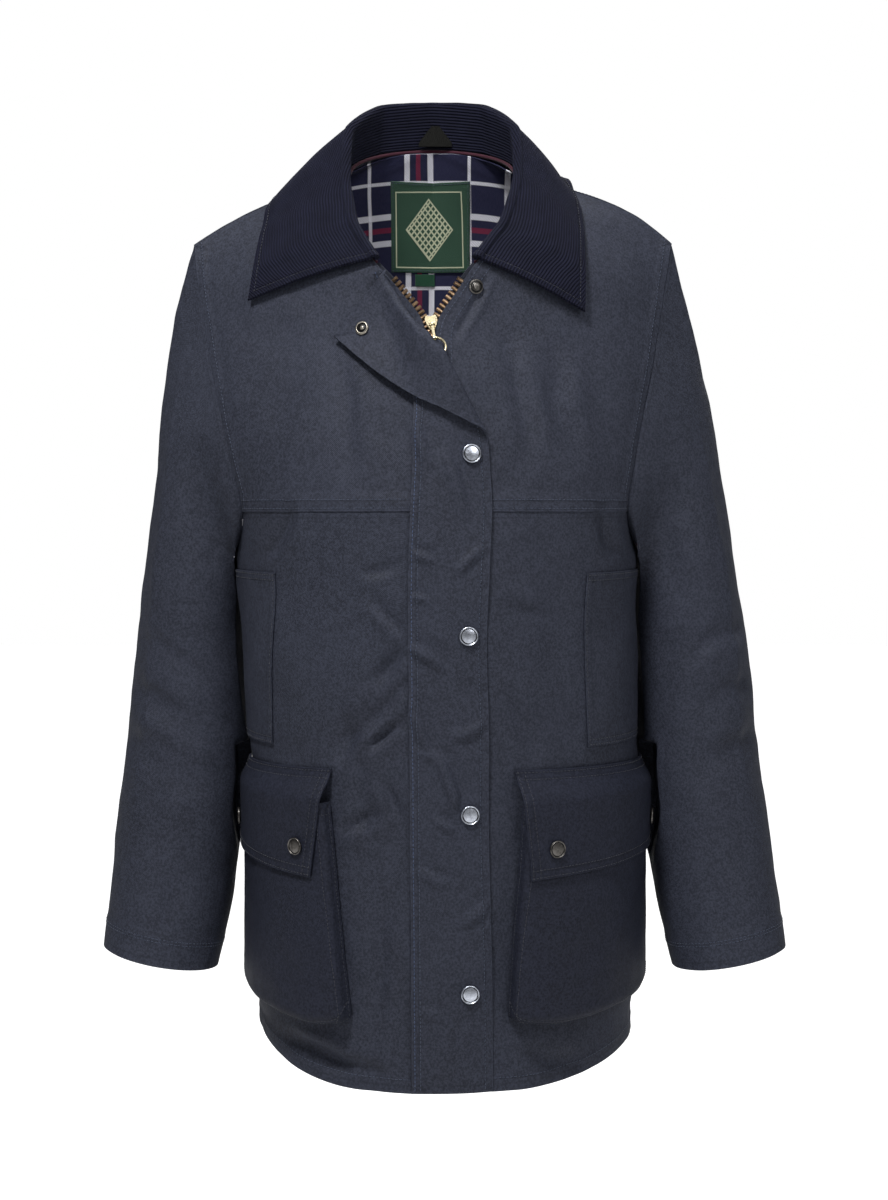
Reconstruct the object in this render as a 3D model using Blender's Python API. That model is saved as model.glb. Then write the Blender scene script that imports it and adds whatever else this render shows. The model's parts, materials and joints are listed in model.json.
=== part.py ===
"""A waxed cotton jacket, hollow and shaped as worn: blender --background --python part.py

Metres. +X is the wearer's left, -Y the front and +Z up. The origin lies between the shoulders,
where the wearer's body carries the garment.
"""

import math

import bpy
import numpy as np
from mathutils import Vector
from mathutils.bvhtree import BVHTree

RIGHT, LEFT = -1, 1  # the wearer's sides, as signs of X
SIDE_NAMES = {RIGHT: "right", LEFT: "left"}

CLOTH = 0.0020  # waxed cotton and its lining, as one wall
POCKET_CLOTH = 0.0016
LINING_CLOTH = 0.0010
CORDUROY = 0.0030
SEAM_GAP = 0.0003
COLUMNS = 11  # quads from the front opening, or the centre back, to the side seam
SIDE_Y = -0.010  # the side seams hang in this plane
ARM_TILT = math.radians(8.0)  # the sleeves swing out from the body by this much
FRONT_STUD_RADIUS = 0.0075

COLOURS = {
    "wax": (0.026, 0.032, 0.046),
    "pocket_wax": (0.020, 0.026, 0.040),
    "corduroy": (0.009, 0.010, 0.022),
    "lining": (0.012, 0.014, 0.040),
    "label": (0.009, 0.048, 0.024),
    "loop": (0.020, 0.020, 0.012),
    "tape": (0.012, 0.013, 0.018),
    "gold": (0.80, 0.68, 0.45),
    "steel": (0.30, 0.33, 0.38),
}


def table(names, *rows):
    """A table with named columns: each name gives the array of that column."""
    return {name: np.array(column, float) for name, column in zip(names.split(), zip(*rows))}


# The body below the armholes, by level: half its width, where its front and back lie, and how far its
# middle stands to the wearer's left of the origin.
BODY = table(
    "z half_width front back shift",
    (-0.724, 0.1590, -0.1480, 0.1300, 0.0010),
    (-0.640, 0.1600, -0.1490, 0.1240, 0.0010),
    (-0.550, 0.1612, -0.1490, 0.1150, 0.0012),
    (-0.470, 0.1635, -0.1490, 0.1080, 0.0010),
    (-0.400, 0.1660, -0.1485, 0.1060, -0.0030),
    (-0.340, 0.1660, -0.1475, 0.1100, -0.0055),
    (-0.295, 0.1690, -0.1460, 0.1130, -0.0062),
    (-0.200, 0.1700, -0.1400, 0.1200, -0.0095),
    (-0.120, 0.1900, -0.1200, 0.1150, -0.0100),
    (0.050, 0.1900, -0.1000, 0.0700, -0.0100),
)
LEVELS = (
    -0.724, -0.701, -0.675, -0.645, -0.610, -0.575, -0.545,
    -0.510, -0.475, -0.440, -0.405, -0.370, -0.340,
)
FRONT_EDGE = {RIGHT: -0.0145, LEFT: -0.0075}  # X of the two edges that the zip joins
HEM_RISE = {RIGHT: 0.029, LEFT: 0.021}  # how much higher the hem is at each side seam
HEM_FLAT = 0.25  # the part of the hem beside the middle that stays level
HEM_FADE = -0.610  # above this level rows are level

# The rows of each front above LEVELS, from the armpit to the shoulder seam. A row runs from the front
# edge or neckline (in) to the armhole (out, from the body's middle). flat turns the row from a quarter
# ellipse (0) to a straight line (1), and swell raises its middle.
FRONT_ROWS = table(
    "in_z in_y in_right in_left out_z out_y out_x flat swell",
    (-0.315, -0.1468, -0.0145, -0.0075, -0.295, -0.004, 0.1700, 0.00, 0.000),
    (-0.288, -0.1463, -0.0145, -0.0075, -0.286, -0.040, 0.1625, 0.12, 0.000),
    (-0.260, -0.1450, -0.0145, -0.0075, -0.262, -0.066, 0.1570, 0.30, 0.000),
    (-0.222, -0.1415, -0.0145, -0.0075, -0.230, -0.066, 0.1630, 0.36, 0.000),
    (-0.182, -0.1350, -0.0145, -0.0075, -0.196, -0.058, 0.1705, 0.42, 0.000),
    (-0.145, -0.1260, -0.0145, -0.0075, -0.164, -0.047, 0.1775, 0.50, 0.000),
    (-0.114, -0.1150, -0.0160, -0.0060, -0.135, -0.036, 0.1835, 0.58, 0.001),
    (-0.088, -0.1070, -0.0345, 0.0100, -0.109, -0.026, 0.1885, 0.66, 0.002),
    (-0.064, -0.1000, -0.0550, 0.0260, -0.087, -0.017, 0.1925, 0.75, 0.003),
    (-0.036, -0.0660, -0.0735, 0.0480, -0.068, -0.009, 0.1965, 0.84, 0.006),
    (-0.004, -0.0270, -0.0815, 0.0610, -0.053, -0.004, 0.1990, 0.92, 0.009),
    (0.024, 0.0100, -0.0800, 0.0600, -0.041, 0.000, 0.2005, 1.00, 0.0095),
)
SWELL = {RIGHT: 0.4, LEFT: 1.0}  # the garment hangs a little lower on the wearer's right shoulder
YOKE_ROW = len(LEVELS) + 2  # the seam across the chest
V_ROW = len(LEVELS) + 8  # the top corners of the front opening

# The same for each half of the back, from the centre back or neckline (in, from the neck's middle).
BACK_ROWS = table(
    "in_z in_y in_x out_z out_y out_x flat swell",
    (-0.315, 0.1130, 0.0000, -0.295, -0.004, 0.1700, 0.00, 0.000),
    (-0.285, 0.1165, 0.0000, -0.285, 0.030, 0.1640, 0.12, 0.000),
    (-0.250, 0.1190, 0.0000, -0.262, 0.056, 0.1620, 0.25, 0.000),
    (-0.210, 0.1200, 0.0000, -0.228, 0.068, 0.1680, 0.33, 0.000),
    (-0.168, 0.1190, 0.0000, -0.192, 0.068, 0.1750, 0.40, 0.000),
    (-0.125, 0.1155, 0.0000, -0.158, 0.062, 0.1820, 0.48, 0.000),
    (-0.082, 0.1090, 0.0000, -0.128, 0.052, 0.1880, 0.56, 0.001),
    (-0.038, 0.0990, 0.0000, -0.101, 0.041, 0.1925, 0.64, 0.002),
    (0.006, 0.0860, 0.0000, -0.080, 0.030, 0.1960, 0.73, 0.003),
    (0.0465, 0.0700, 0.0000, -0.063, 0.019, 0.1985, 0.82, 0.006),
    (0.040, 0.0500, 0.0450, -0.050, 0.009, 0.2000, 0.91, 0.009),
    (0.024, 0.0100, 0.0700, -0.041, 0.000, 0.2005, 1.00, 0.0095),
)
NECK_MIDDLE = -0.010  # X of the centre back at the neck
NECK_ROW = len(LEVELS) + 9  # where the back's centre line ends at the neck

# The sleeves below the armpit, by the level of each section's middle: how far its outer and inner sides
# lie from the middle of the body, where its middle stands from front to back, and half its depth.
SLEEVE = table(
    "z outer inner y half_depth shift",
    (-0.335, 0.2551, 0.1600, 0.0180, 0.0640, -0.0030),
    (-0.400, 0.2635, 0.1610, 0.0160, 0.0630, -0.0018),
    (-0.470, 0.2706, 0.1640, 0.0100, 0.0600, -0.0020),
    (-0.520, 0.2766, 0.1700, 0.0020, 0.0565, -0.0012),
    (-0.560, 0.2805, 0.1775, -0.0060, 0.0530, -0.0004),
    (-0.600, 0.2842, 0.1845, -0.0160, 0.0495, 0.0002),
    (-0.637, 0.2880, 0.1925, -0.0260, 0.0480, 0.0006),
)
HEAD_RINGS = 7  # rings between the armhole and the first section
ARM_RINGS = 11  # rings from the first section to the cuff
UNDERARM = -0.200  # below this level sleeve and body meet in a hollow
BODY_CLEARANCE = 0.0040  # what a sleeve keeps to the body beside it
CUFF_DROP = 0.0050  # how much lower the cuff's inner side is cut, beyond the sleeve's tilt
CUFF_START = -0.560
LEAVING = (0.31, 0.62)  # how far out the cloth leaves the armhole, for each unit down: at its top and foot

# The largest folds: a soft trough from one point to another, seen from the front (-1) or back (1).
FOLDS = table(
    "face x1 z1 x2 z2 width depth",
    (-1, -0.075, -0.290, -0.095, -0.450, 0.016, 0.0025),
    (-1, 0.080, -0.250, 0.095, -0.430, 0.017, 0.0025),
    (-1, -0.045, -0.340, -0.040, -0.640, 0.013, 0.0020),
    (-1, -0.125, -0.150, -0.150, -0.235, 0.016, 0.0030),
    (-1, 0.115, -0.145, 0.135, -0.235, 0.016, 0.0030),
    (-1, 0.055, -0.560, 0.040, -0.722, 0.014, 0.0030),
    (-1, -0.120, -0.690, -0.060, -0.722, 0.016, 0.0030),
    (1, -0.065, -0.330, -0.080, -0.722, 0.022, 0.0050),
    (1, 0.060, -0.380, 0.070, -0.722, 0.022, 0.0050),
    (1, -0.005, -0.450, 0.005, -0.722, 0.020, 0.0030),
    (1, -0.150, -0.150, -0.120, -0.290, 0.018, 0.0040),
    (1, 0.130, -0.150, 0.100, -0.290, 0.018, 0.0040),
    (-1, -0.275, -0.400, -0.215, -0.445, 0.012, 0.0035),
    (-1, -0.280, -0.450, -0.220, -0.485, 0.012, 0.0035),
    (-1, 0.275, -0.395, 0.215, -0.440, 0.012, 0.0035),
    (-1, 0.280, -0.448, 0.220, -0.480, 0.012, 0.0035),
    (1, -0.270, -0.410, -0.200, -0.380, 0.013, 0.0030),
    (1, 0.270, -0.410, 0.200, -0.380, 0.013, 0.0030),
)

# The collar by the eleven neckline points, from the right front end round the back to the left: how
# high its fold stands over the seam, and where its outer edge lies.
COLLAR = table(
    "rise edge_x edge_y edge_z",
    (0.0075, -0.1597, -0.0600, -0.0920),
    (0.0095, -0.1562, -0.0540, -0.0670),
    (0.0175, -0.1508, -0.0330, -0.0332),
    (0.0340, -0.1420, -0.0020, -0.0040),
    (0.0420, -0.1000, 0.0780, 0.0080),
    (0.0410, -0.0100, 0.1110, 0.0170),
    (0.0420, 0.0725, 0.0780, 0.0080),
    (0.0340, 0.1078, -0.0020, -0.0015),
    (0.0175, 0.1150, -0.0390, -0.0329),
    (0.0095, 0.1150, -0.0665, -0.0694),
    (0.0075, 0.1138, -0.0775, -0.1023),
)
COLLAR_STEPS = 3  # stations from one neckline point to the next
COLLAR_ROLL = 0.0032  # radius of the fold's middle line
COLLAR_REST = 0.0030  # gap between the fall and the cloth under it
FALL_START = 7  # of a station's points, the first on the fall

# The storm flap lying flat, by level: its sewn edge and its free edge.
FLAP = table(
    "z base free",
    (-0.7235, -0.0257, 0.0390),
    (-0.600, -0.0262, 0.0370),
    (-0.500, -0.0268, 0.0351),
    (-0.427, -0.0273, 0.0351),
    (-0.369, -0.0280, 0.0335),
    (-0.302, -0.0280, 0.0358),
    (-0.257, -0.0262, 0.0374),
    (-0.205, -0.0240, 0.0345),
    (-0.168, -0.0245, 0.0345),
    (-0.129, -0.0345, 0.0325),
    (-0.100, -0.0445, 0.0270),
    (-0.074, -0.0560, 0.0200),
)
FLAP_ROWS = 34
FLAP_COLUMNS = 12
FLAP_LIFT = 0.0008  # gap between the flap and the fronts
FLAP_STAND = 0.0158  # how far it stands off the zip's pull
FLAP_ROLL = 0.0034  # radius of the turned-back fold's middle line
TURN_TOP = np.array((-0.0476, -0.0726))  # the fold's two ends, X and Z
TURN_FOOT = np.array((0.0334, -0.2045))
FLAP_STUDS = table("x z", (0.0215, -0.2165), (0.0192, -0.3590), (0.0205, -0.5000), (0.0205, -0.6430))
SOCKET_PLACE = (-0.0640, -0.1180)
POST_PLACE = (0.0250, -0.0840)

# Pockets, by how far round the front they lie (0 at the opening, 1 at the side seam) and by level.
POCKET = {
    RIGHT: {"front_top": 0.340, "front_foot": 0.262, "flap_top": 0.332, "flap_foot": 0.385},
    LEFT: {"front_top": 0.262, "front_foot": 0.224, "flap_top": 0.237, "flap_foot": 0.276},
}
POCKET_SIDE = 0.985
POCKET_TOP = -0.492
POCKET_FOOT = (-0.676, -0.662)  # at the front and at the side
POCKET_DEPTH = (0.011, 0.016)  # how far it stands out, at the top and the bottom
SIDE_FLATTENING = 0.42  # part of that depth that goes beside the sleeve
FLAP_TOP = (-0.4660, -0.4700)  # the pocket flap, at the front and at the side
FLAP_FOOT = (-0.5520, -0.5430)
POCKET_STUD = {RIGHT: (0.440, 0.915), LEFT: (0.350, 0.915)}
POCKET_STUD_Z = (-0.5280, -0.5200)
HANDWARMER_FRONT = {RIGHT: (0.541, 0.627), LEFT: (0.507, 0.504)}  # at its top and its foot
HANDWARMER = {"side": 0.930, "top": -0.312, "foot": -0.452}

LINING_FOOT = -0.255
LABEL = {"x": (-0.0466, 0.0229), "z": (-0.0555, 0.0205)}
SIZE_TAB = {"x": (-0.0257, -0.0080), "z": (-0.0675, -0.0570)}
LOOP = {"width": 0.029, "height": 0.018, "x": -0.0075, "z": 0.0495}

TAPE_REACH = 0.0030  # past the edge of the front, where the teeth are
SLIDER_PLACE = (-0.0100, -0.1130)
SLIDER_SEAT = 0.0005
SLIDER_PLATE = 0.0018
PULL_LEAN = math.radians(10.0)
PULL_PIVOT = -0.0030  # below the slider's middle
EYE_RADIUS = 0.0020
EYE_STAND = 0.0023  # from the slider's face to the middle of its bar
TAB_LENGTH = 0.0120  # between the middles of its eyes
TAB_WIDTH = 0.0036
RING_RADIUS = 0.0077
RING_WIRE = 0.0010


def smooth(places, values, at):
    """The cubic curve through values at rising places, read at one place."""
    slopes = np.gradient(values, places)
    i = int(np.clip(np.searchsorted(places, at) - 1, 0, len(places) - 2))
    step = places[i + 1] - places[i]
    f = min(max((at - places[i]) / step, 0.0), 1.0)
    start = (1 + 2 * f) * (1 - f) ** 2 * values[i] + f * (1 - f) ** 2 * step * slopes[i]
    return start + f * f * (3 - 2 * f) * values[i + 1] - f * f * (1 - f) * step * slopes[i + 1]


def ease(f):
    f = min(max(f, 0.0), 1.0)
    return f * f * (3 - 2 * f)


def unit(vector):
    return vector / max(float(np.linalg.norm(vector)), 1e-12)


def body(column, z):
    return smooth(BODY["z"], BODY[column], z)


def row_points(inner, outer, flat, swell):
    """One row of a panel, from its inner edge to the side seam or armhole."""
    points = []
    for t in np.linspace(0.0, 1.0, COLUMNS + 1):
        angle = t * math.pi / 2
        across = (1 - flat) * math.sin(angle) + flat * t
        along = (1 - flat) * (1 - math.cos(angle)) + flat * t
        point = inner + (outer - inner) * np.array((across, along, t))
        point[2] += swell * 6.75 * t * t * (1 - t)
        points.append(point)
    return points


def curved_hem(row, side):
    """A level row, raised towards the side seam by its share of the hem's curve."""
    for t, point in zip(np.linspace(0.0, 1.0, COLUMNS + 1), row):
        near = max(HEM_FADE - point[2], 0.0) / (HEM_FADE - LEVELS[0])
        point[2] += HEM_RISE[side] * near * ease((t - HEM_FLAT) / (1 - HEM_FLAT))
    return row


def front_grid(side):
    rows = []
    for z in LEVELS:
        inner = np.array((FRONT_EDGE[side], body("front", z), z))
        outer = np.array((body("shift", z) + side * body("half_width", z), SIDE_Y, z))
        rows.append(curved_hem(row_points(inner, outer, 0.0, 0.0), side))
    r = FRONT_ROWS
    for i in range(len(r["in_z"])):
        in_x = r["in_" + SIDE_NAMES[side]][i]
        out_x = body("shift", r["out_z"][i]) + side * r["out_x"][i]
        inner = np.array((in_x, r["in_y"][i], r["in_z"][i]))
        outer = np.array((out_x, r["out_y"][i], r["out_z"][i]))
        rows.append(row_points(inner, outer, r["flat"][i], r["swell"][i] * SWELL[side]))
    return rows


def back_grid(side):
    rows = []
    for z in LEVELS:
        inner = np.array((body("shift", z), body("back", z), z))
        outer = np.array((body("shift", z) + side * body("half_width", z), SIDE_Y, z))
        rows.append(curved_hem(row_points(inner, outer, 0.0, 0.0), side))
    r = BACK_ROWS
    for i in range(len(r["in_z"])):
        middle = NECK_MIDDLE if r["in_x"][i] else body("shift", r["in_z"][i])
        inner = np.array((middle + side * r["in_x"][i], r["in_y"][i], r["in_z"][i]))
        out_x = body("shift", r["out_z"][i]) + side * r["out_x"][i]
        outer = np.array((out_x, r["out_y"][i], r["out_z"][i]))
        rows.append(row_points(inner, outer, r["flat"][i], r["swell"][i] * SWELL[side]))
    return rows


def beside_body(point, side):
    """The point, moved out where it would lie in the body or too near it."""
    z = point[2]
    armpit = FRONT_ROWS["out_z"][0]
    if z > armpit:
        return point
    depth = body("back" if point[1] > SIDE_Y else "front", z) - SIDE_Y
    share = min(abs((point[1] - SIDE_Y) / depth), 0.999)
    clearance = BODY_CLEARANCE * ease((armpit - z) / 0.010)
    if POCKET_FOOT[0] < z < FLAP_TOP[1] + 0.01 and point[1] < 0.004:
        clearance += POCKET_DEPTH[1] * (1 - SIDE_FLATTENING) + 0.002
        clearance += 0.0042 * math.exp(-(((z - POCKET_STUD_Z[1]) / 0.03) ** 2))
    least = body("half_width", z) * math.sqrt(1 - share * share) + clearance
    out = side * (point[0] - body("shift", z))
    return point + np.array((side * max(least - out, 0.0), 0.0, 0.0))


def sleeve_section(side, z, count):
    """One section of a sleeve, from its outer side round its front, its inner side and its back."""
    outer, inner, y, depth, shift = (
        smooth(-SLEEVE["z"], SLEEVE[name], -z) for name in ("outer", "inner", "y", "half_depth", "shift")
    )
    drop = CUFF_DROP * ease((CUFF_START - z) / (CUFF_START - SLEEVE["z"][-1]))
    ring = []
    for i in range(count):
        angle = 2 * math.pi * i / count
        across = (outer - inner) / 2 * math.cos(angle)
        x = shift + side * ((outer + inner) / 2 + across)
        level = z + across * math.tan(ARM_TILT) - drop * (1 - math.cos(angle)) / 2
        point = np.array((x, y - depth * math.sin(angle), level))
        ring.append(beside_body(point, side))
    return ring


def sleeve_grid(side, front, back):
    """Rings from the armhole to the cuff. The first is the armhole's own points."""
    top = len(LEVELS)
    hole = [row[-1] for row in front[:top - 1:-1]] + [row[-1] for row in back[top + 1:-1]]
    count = len(hole)
    first = sleeve_section(side, SLEEVE["z"][0], count)
    arrive = np.array((side * math.sin(ARM_TILT), 0.0, -math.cos(ARM_TILT)))
    rings = [hole]
    for k in range(1, HEAD_RINGS):
        f = k / HEAD_RINGS
        ring = []
        for i, (start, end) in enumerate(zip(hole, first)):
            low = (1 - math.cos(2 * math.pi * i / count)) / 2
            leave = unit(np.array((side * (LEAVING[0] + (LEAVING[1] - LEAVING[0]) * low), 0.0, -1.0)))
            length = float(np.linalg.norm(end - start))
            point = (1 + 2 * f) * (1 - f) ** 2 * start + f * f * (3 - 2 * f) * end
            point += length * (f * (1 - f) ** 2 * leave - f * f * (1 - f) * arrive)
            ring.append(beside_body(point, side))
        rings.append(ring)
    for z in np.linspace(SLEEVE["z"][0], SLEEVE["z"][-1], ARM_RINGS):
        rings.append(sleeve_section(side, z, count))
    return rings


def fold_depth(point, normal):
    """How far the largest folds sink the cloth at a point."""
    f = FOLDS
    starts = np.stack((f["x1"], f["z1"]), axis=1)
    runs = np.stack((f["x2"], f["z2"]), axis=1) - starts
    offset = np.array((point[0], point[2])) - starts
    share = np.clip((offset * runs).sum(axis=1) / (runs * runs).sum(axis=1), 0, 1)
    away = np.linalg.norm(offset - share[:, None] * runs, axis=1)
    facing = np.clip(f["face"] * normal[1] * 2.0, 0, 1)
    fading = 0.35 + 0.65 * np.sin(np.pi * np.clip(share, 0.08, 0.92))
    return float((facing * fading * f["depth"] * np.exp(-((away / f["width"]) ** 2))).sum())


class Shell:
    """The panels as one skin whose seams share their points, so that the walls made from it meet."""

    def __init__(self):
        self.points = []
        self.index = {}
        self.panels = {}

    def add(self, panel, grid, flip, closed=False):
        ids = [[self.place(point) for point in row] for row in grid]
        quads = self.panels.setdefault(panel, [])
        width = len(ids[0])
        for low, high in zip(ids, ids[1:]):
            for j in range(width if closed else width - 1):
                k = (j + 1) % width
                quad = (low[j], low[k], high[k], high[j])
                quads.append(quad[::-1] if flip else quad)
        return ids

    def place(self, point):
        key = tuple(np.round(point, 6))
        if key not in self.index:
            self.index[key] = len(self.points)
            self.points.append(np.array(point, float))
        return self.index[key]

    def quads(self):
        return [quad for quads in self.panels.values() for quad in quads]

    def settle(self):
        """Sinks the folds into the skin."""
        points = np.array(self.points)
        normals = vertex_normals(points, self.quads())
        depths = np.array([fold_depth(p, n) for p, n in zip(points, normals)])
        self.points = points - normals * depths[:, None]
        self.normals = vertex_normals(self.points, self.quads())

    def wall_normals(self, panel):
        """The shared normals, or the panel's own in the sharp hollow under the arm."""
        own = vertex_normals(self.points, self.panels[panel])
        hollow = ((own * self.normals).sum(axis=1) < 0.80) & (self.points[:, 2] < UNDERARM)
        return np.where(hollow[:, None], own, self.normals)


def vertex_normals(points, quads):
    normals = np.zeros((len(points), 3))
    for a, b, c, d in quads:
        face = np.cross(points[c] - points[a], points[d] - points[b])
        for i in (a, b, c, d):
            normals[i] += face
    return normals / np.maximum(np.linalg.norm(normals, axis=1), 1e-12)[:, None]


def border_edges(quads):
    """The directed edges that only one quad has."""
    edges = {}
    for quad in quads:
        for a, b in zip(quad, quad[1:] + quad[:1]):
            edges[(a, b)] = (b, a) not in edges
            if (b, a) in edges:
                edges[(b, a)] = False
    return [edge for edge, alone in edges.items() if alone]


def draw_in(points, quads, normals, distance):
    """Moves the border into the panel by this distance, which opens the gap at a seam."""
    ways = {}
    for a, b in border_edges(quads):
        for i in (a, b):
            ways.setdefault(i, []).append(unit(np.cross(normals[i], points[b] - points[a])))
    moved = np.array(points)
    for i, (first, second) in ways.items():
        moved[i] += distance * (first + second) / max(1 + float(first @ second), 0.4)
    return moved


def material(name):
    made = bpy.data.materials.get(name)
    if made is None:
        made = bpy.data.materials.new(name)
        made.use_nodes = True
        shader = made.node_tree.nodes["Principled BSDF"]
        shader.inputs["Base Color"].default_value = (*COLOURS[name], 1.0)
        shader.inputs["Metallic"].default_value = 1.0 if name in ("gold", "steel") else 0.0
        shader.inputs["Roughness"].default_value = 0.35 if name in ("gold", "steel") else 0.8
    return made


def add_object(name, points, faces, finish):
    mesh = bpy.data.meshes.new(name)
    mesh.from_pydata([tuple(map(float, point)) for point in points], [], faces)
    mesh.shade_smooth()
    mesh.set_sharp_from_angle(angle=math.radians(40))
    mesh.materials.append(material(finish))
    mesh.validate()
    made = bpy.data.objects.new(name, mesh)
    bpy.context.scene.collection.objects.link(made)
    return made


def add_wall(name, points, quads, normals, thickness, finish, gap=SEAM_GAP / 2):
    """A closed wall: the outer skin, an inner skin behind it, and a rim round every border."""
    used = sorted({i for quad in quads for i in quad})
    number = {i: k for k, i in enumerate(used)}
    local = [tuple(number[i] for i in quad) for quad in quads]
    normals = np.array([normals[i] for i in used])
    outer = draw_in(np.array([points[i] for i in used]), local, normals, gap)
    inner = outer - normals * thickness
    count = len(used)
    faces = list(local)
    faces += [(a + count, d + count, c + count, b + count) for a, b, c, d in local]
    for a, b in border_edges(local):
        rim = (a, a + count, b + count, b)
        faces.append(rim if a < b else (rim[3], *rim[:3]))
    return add_object(name, np.vstack((outer, inner)), faces, finish)


def grid_wall(name, grid, thickness, finish, flip=False, middle=False):
    """A wall from a grid of its outer points, or of its middle ones."""
    points = np.array([point for row in grid for point in row])
    width = len(grid[0])
    quads = []
    for i in range(len(grid) - 1):
        for j in range(width - 1):
            a = i * width + j
            quad = (a, a + 1, a + width + 1, a + width)
            quads.append(quad[::-1] if flip else quad)
    normals = vertex_normals(points, quads)
    if middle:
        points = points + normals * thickness / 2
    return add_wall(name, points, quads, normals, thickness, finish)


def turned(name, profile, centre, axis, finish, sides=12, hollow=False):
    """A turned piece: profile is (radius, height along axis), closed on the axis unless it is hollow."""
    turn = Vector(axis).to_track_quat("Z", "Y").to_matrix()
    points, faces = [], []
    for radius, height in profile:
        for k in range(sides):
            angle = 2 * math.pi * k / sides
            spot = turn @ Vector((radius * math.cos(angle), radius * math.sin(angle), height))
            points.append(np.array(spot) + centre)
    last = len(profile) - 1
    for i in range(last + 1 if hollow else last):
        low, high = i * sides, (i + 1) % (last + 1) * sides
        for k in range(sides):
            n = (k + 1) % sides
            faces.append((low + k, low + n, high + n, high + k))
    if not hollow:
        faces.append(tuple(reversed(range(sides))))
        faces.append(tuple(last * sides + k for k in range(sides)))
    return add_object(name, points, faces, finish)


def make_shell():
    """The skin of the whole garment, and each panel's grid of point numbers."""
    shell = Shell()
    grids = {}
    for side in (RIGHT, LEFT):
        name = SIDE_NAMES[side]
        front, back = front_grid(side), back_grid(side)
        lower = shell.add("front_" + name, front[:YOKE_ROW + 1], side == RIGHT)
        upper = shell.add("front_yoke_" + name, front[YOKE_ROW:], side == RIGHT)
        grids["front_" + name] = lower + upper[1:]
        grids["back_" + name] = shell.add("back", back, side == LEFT)
        rings = sleeve_grid(side, front, back)
        grids["sleeve_" + name] = shell.add("sleeve_" + name, rings, side == RIGHT, closed=True)
    shell.settle()
    return shell, grids


def make_panels(shell):
    for panel, quads in shell.panels.items():
        add_wall(panel, shell.points, quads, shell.wall_normals(panel), CLOTH, "wax")


def carrier(shell, grids):
    """The fronts with the opening between them bridged: what lies across the opening is set on it."""
    quads = shell.quads()
    right, left = (grids["front_" + SIDE_NAMES[side]] for side in (RIGHT, LEFT))
    for i in range(V_ROW):
        quads.append((right[i][0], left[i][0], left[i + 1][0], right[i + 1][0]))
    return BVHTree.FromPolygons([tuple(point) for point in shell.points], quads)


def on_carrier(tree, x, z):
    """The point of the front at this X and Z, and its outward normal."""
    spot, normal, _, _ = tree.ray_cast(Vector((x, -1.0, z)), Vector((0.0, 1.0, 0.0)))
    normal = np.array(normal)
    return np.array(spot), normal if normal[1] < 0 else -normal


class FrontPanel:
    """A lower front as a map: how far round (0 to 1), the level and the lift give a point."""

    def __init__(self, shell, grids, side):
        ids = grids["front_" + SIDE_NAMES[side]][:YOKE_ROW + 1]
        self.points = np.array([[shell.points[i] for i in row] for row in ids])
        self.normals = np.array([[shell.normals[i] for i in row] for row in ids])

    def __call__(self, t, z, lift):
        column = min(max(t, 0.0), 0.9999) * COLUMNS
        j = int(column)
        f = column - j
        points = self.points[:, j] * (1 - f) + self.points[:, j + 1] * f
        normals = self.normals[:, j] * (1 - f) + self.normals[:, j + 1] * f
        i = int(np.clip(np.searchsorted(points[:, 2], z) - 1, 0, len(points) - 2))
        g = (z - points[i, 2]) / (points[i + 1, 2] - points[i, 2])
        normal = unit(normals[i] * (1 - g) + normals[i + 1] * g)
        return points[i] * (1 - g) + points[i + 1] * g + normal * lift


def pocket_stand(t, z):
    """How far a pocket's outer face stands off the front."""
    down = ease((POCKET_TOP - z) / (POCKET_TOP - POCKET_FOOT[0]))
    depth = POCKET_DEPTH[0] + (POCKET_DEPTH[1] - POCKET_DEPTH[0]) * down
    return depth * (1 - SIDE_FLATTENING * ease((t - 0.45) / 0.5))


def make_pocket(panel, side):
    """A tray of cloth, open at the top and backed by the front: gussets at its sides and bottom."""
    plan = POCKET[side]
    seat = POCKET_CLOTH + 0.0010
    grid = []
    for share, part in (
        (0.0, 0.0), (0.035, 0.90), (0.12, 1.0), (0.3, 1.0), (0.5, 1.0), (0.75, 1.0), (1.0, 1.0),
    ):
        row = []
        for across, rise in (
            (0.0, 0.0), (0.02, 0.85), (0.07, 1.0), (0.2, 1.0), (0.34, 1.0), (0.48, 1.0),
            (0.62, 1.0), (0.76, 1.0), (0.89, 1.0), (0.965, 0.85), (1.0, 0.0),
        ):
            front = plan["front_foot"] + (plan["front_top"] - plan["front_foot"]) * share
            t = front + (POCKET_SIDE - front) * across
            foot = POCKET_FOOT[0] + (POCKET_FOOT[1] - POCKET_FOOT[0]) * across
            corner = 0.012 * ((2 * across - 1) ** 6) * (1 - share) ** 3
            z = foot + corner + (POCKET_TOP - foot - corner) * share
            row.append(panel(t, z, seat + pocket_stand(t, z) * rise * part))
        grid.append(row)
    grid_wall("pocket_" + SIDE_NAMES[side], grid, POCKET_CLOTH, "pocket_wax", side == RIGHT)


def flap_stand(t, down):
    """How far a pocket flap's outer face stands off the front, by the share of its height."""
    over = POCKET_DEPTH[0] * (1 - SIDE_FLATTENING * ease((t - 0.45) / 0.5)) + 0.0022
    return POCKET_CLOTH + 0.0010 + over * ease(down / 0.30) + 0.0015 * down


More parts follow.
